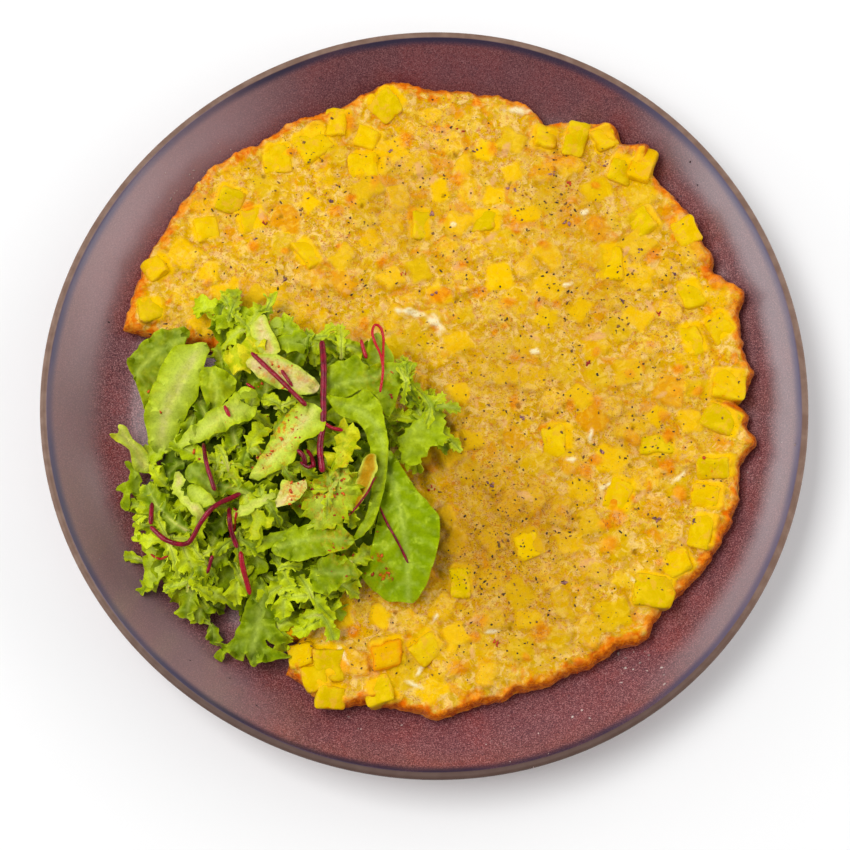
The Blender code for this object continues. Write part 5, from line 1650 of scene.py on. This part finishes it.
def make_bits(tree):
    """Purple onion and red chilli bits on the egg, a few together at each place."""
    rng = random.Random(PEPPER_SEED + 3)
    for name, places, dark, light in (("onion_bits", ONION_BITS, (104, 62, 70), (176, 122, 116)),
                                      ("chilli_bits", CHILLI_BITS, (150, 22, 10), (208, 74, 18))):
        spots = [(x + rng.gauss(0.0, BIT_SPREAD), y + rng.gauss(0.0, BIT_SPREAD), rng.uniform(*BIT_SIZE))
                 for x, y in places for _ in range(BIT_COUNT)]
        scatter(name, flake_look(name, dark, light), "omelette", tree, rng, spots)


def make_crumbs(tree):
    """Pale crumbs of salt on the plate, and small dark pits in its glaze."""
    rng = random.Random(PEPPER_SEED + 2)
    crumbs = [(rng.gauss(x, spread), rng.gauss(y, spread), rng.uniform(*CRUMB_SIZE))
              for x, y, spread, count in CRUMB_CLUSTERS for _ in range(count)]
    look = flake_look("crumb", (160, 138, 132), (220, 202, 194))
    scatter("crumbs", look, "plate", tree, rng, crumbs + DROPS)
    scatter("glaze_pits", flake_look("pit", (34, 14, 22), (62, 34, 42)), "plate", tree, rng, GLAZE_PITS)


def chip(rng, place, normal, size):
    """A small uneven flake that lies flat on a surface."""
    turn = Vector((0.0, 0.0, 1.0)).rotation_difference(normal)
    stretch, bearing = rng.uniform(1.0, 1.5), rng.uniform(0.0, math.pi)
    corners = []
    for i in range(5):
        angle = 2.0 * math.pi * i / 5 + rng.uniform(-0.4, 0.4)
        reach = size / 2.0 * rng.uniform(0.5, 1.25)
        along, across = reach * math.cos(angle) * stretch, reach * math.sin(angle) / stretch
        corners.append(Vector((along * math.cos(bearing) - across * math.sin(bearing),
                               along * math.sin(bearing) + across * math.cos(bearing),
                               rng.uniform(-0.1, 0.1) * size)))
    up = Vector((0.0, 0.0, 0.22 * size))
    points = [place + turn @ p for p in corners + [up, -up]]
    faces = [(i, (i + 1) % 5, 5) for i in range(5)] + [((i + 1) % 5, i, 6) for i in range(5)]
    return points, faces


def scatter(name, look, slot, tree, rng, spots):
    """One piece of many small flakes on a surface; spots are (x, y, size), and some may miss it."""
    shapes = Shapes("tone")
    for x, y, size in spots:
        hit, normal = tree.ray_cast(Vector((x, y, 200.0)), Vector((0.0, 0.0, -1.0)))[:2]
        if hit is not None:
            normal = -normal if normal.z < 0.0 else normal
            points, faces = chip(rng, hit + normal * 0.1 * size, normal, size)
            shapes.add(points, faces, tone=rng.random())
    return shapes.piece(name, look, slot, creases=False)


def flake_look(name, dark, light):
    """A dry flake from dark to light, one flake differing from the next."""
    look = Look(name, Roughness=0.6)
    share = look.plus(look.value("tone"), look.sum("SUBTRACT", look.noise(0.4, 2.0), 0.5))
    return look.finish(look.over(dark, light, share, 0.1, 0.9), look.noise(0.2, 2.0), 0.05)


def make_pepper(tree, outline):
    """Ground black pepper over the egg, thicker in a few clusters."""
    rng = random.Random(PEPPER_SEED)
    spots = []
    while len(spots) < PEPPER_COUNT:
        if rng.random() < PEPPER_CLUSTERED:
            x, y, spread = rng.choice(PEPPER_CLUSTERS)
            x, y = rng.gauss(x, spread), rng.gauss(y, spread)
        else:
            x, y = place_on_egg(rng, PEPPER_INSET)
        if rng.random() < 0.5 + wave(x, y, 16.0, 81):
            spots.append((x, y, PEPPER_SIZE[0] + (PEPPER_SIZE[1] - PEPPER_SIZE[0]) * rng.random() ** 4))
    places = [spot[:2] for spot in spots]
    kept = are_inside(places, outline) & (in_salad_shade(places) < 0.9)
    spots = [spot for spot, keep in zip(spots, kept) if keep]
    scatter("pepper", flake_look("pepper", (40, 29, 12), (134, 94, 40)), "omelette", tree, rng, spots)


def make_paprika(tree):
    """Orange-red paprika flakes on the pale leaves in the middle of the heap."""
    rng = random.Random(PEPPER_SEED + 1)
    spots = [(rng.gauss(x, spread), rng.gauss(y, spread), 0.35 + 1.5 * rng.random() ** 3)
             for x, y, spread, count in PAPRIKA_CLUSTERS for _ in range(count)]
    scatter("paprika", flake_look("paprika", (158, 18, 2), (232, 104, 8)), "salad", tree, rng, spots)


# The camera, the lights and the floor

def make_camera():
    """The camera above the viewer's side, aimed near the middle of the plate."""
    camera = bpy.data.objects.new("camera", bpy.data.cameras.new("camera"))
    camera.data.lens = camera.data.sensor_width / 2.0 * CAMERA_DISTANCE / HALF_VIEW
    elevation = math.radians(CAMERA_ELEVATION)
    away = Vector((0.0, -math.cos(elevation), math.sin(elevation)))
    camera.location = Vector(CAMERA_AIM) + away * CAMERA_DISTANCE
    camera.rotation_euler = (math.pi / 2.0 - elevation, 0.0, 0.0)
    bpy.context.scene.collection.objects.link(camera)
    bpy.context.scene.camera = camera


def make_sky():
    """An even white light from all around."""
    world = bpy.data.worlds.new("studio")
    world.use_nodes = True
    background = world.node_tree.nodes["Background"]
    background.inputs["Color"].default_value = (1.0, 1.0, 1.0, 1.0)
    background.inputs["Strength"].default_value = SKY_STRENGTH
    bpy.context.scene.world = world


def make_floor():
    """The pale floor that the plate stands on, which isn't part of it."""
    sides = [(-1, -1), (1, -1), (1, 1), (-1, 1)]
    mesh = bpy.data.meshes.new("floor")
    mesh.from_pydata([(x * FLOOR_REACH, y * FLOOR_REACH, FLOOR_LEVEL) for x, y in sides], [], [(0, 1, 2, 3)])
    pale = bpy.data.materials.new("floor")
    pale.use_nodes = True
    shader = pale.node_tree.nodes["Principled BSDF"]
    shader.inputs["Base Color"].default_value = (FLOOR_WHITE, FLOOR_WHITE, FLOOR_WHITE, 1.0)
    shader.inputs["Roughness"].default_value = FLOOR_ROUGHNESS
    mesh.materials.append(pale)
    thing = bpy.data.objects.new("floor", mesh)
    bpy.context.scene.collection.objects.link(thing)


def make_stage():
    """The camera, the lights and the floor."""
    bpy.context.scene.view_settings.view_transform = "Standard"
    make_camera()
    for light in LIGHTS:
        add_light(*light)
    make_sky()
    make_floor()


def add_light(name, place, size, power):
    """A soft rectangular light that faces the plate."""
    light = bpy.data.lights.new(name, "AREA")
    light.shape = "RECTANGLE"
    light.size, light.size_y = size
    light.energy = power
    thing = bpy.data.objects.new(name, light)
    thing.location = place
    thing.rotation_euler = (-Vector(place)).to_track_quat("-Z", "Y").to_euler()
    bpy.context.scene.collection.objects.link(thing)


make_stage()
plate = make_plate()
coarse = omelette_outline(COARSE_STEP)
outline = omelette_outline(FINE_STEP, CRAG)
shown_dice = KEY_DICE + rule_dice(coarse)
egg = make_egg(outline, shown_dice, sunk_dice(coarse, shown_dice))
potato = make_dice(shown_dice, coarse)
ground = surface_tree([plate, egg, potato])
core = make_salad_core(ground)
leaves = make_leaves(ground)
chard = make_chard(ground)
fill = make_fill(ground)
sprigs = make_sprigs(ground)
heap = surface_tree([plate, egg, potato, core, fill, leaves, chard, sprigs])
make_stems(heap)
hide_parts("salad")
make_paprika(surface_tree([leaves, chard, sprigs, fill]))
make_pepper(surface_tree([egg, potato]), coarse)
make_bits(surface_tree([egg, potato]))
make_crumbs(surface_tree([plate]))
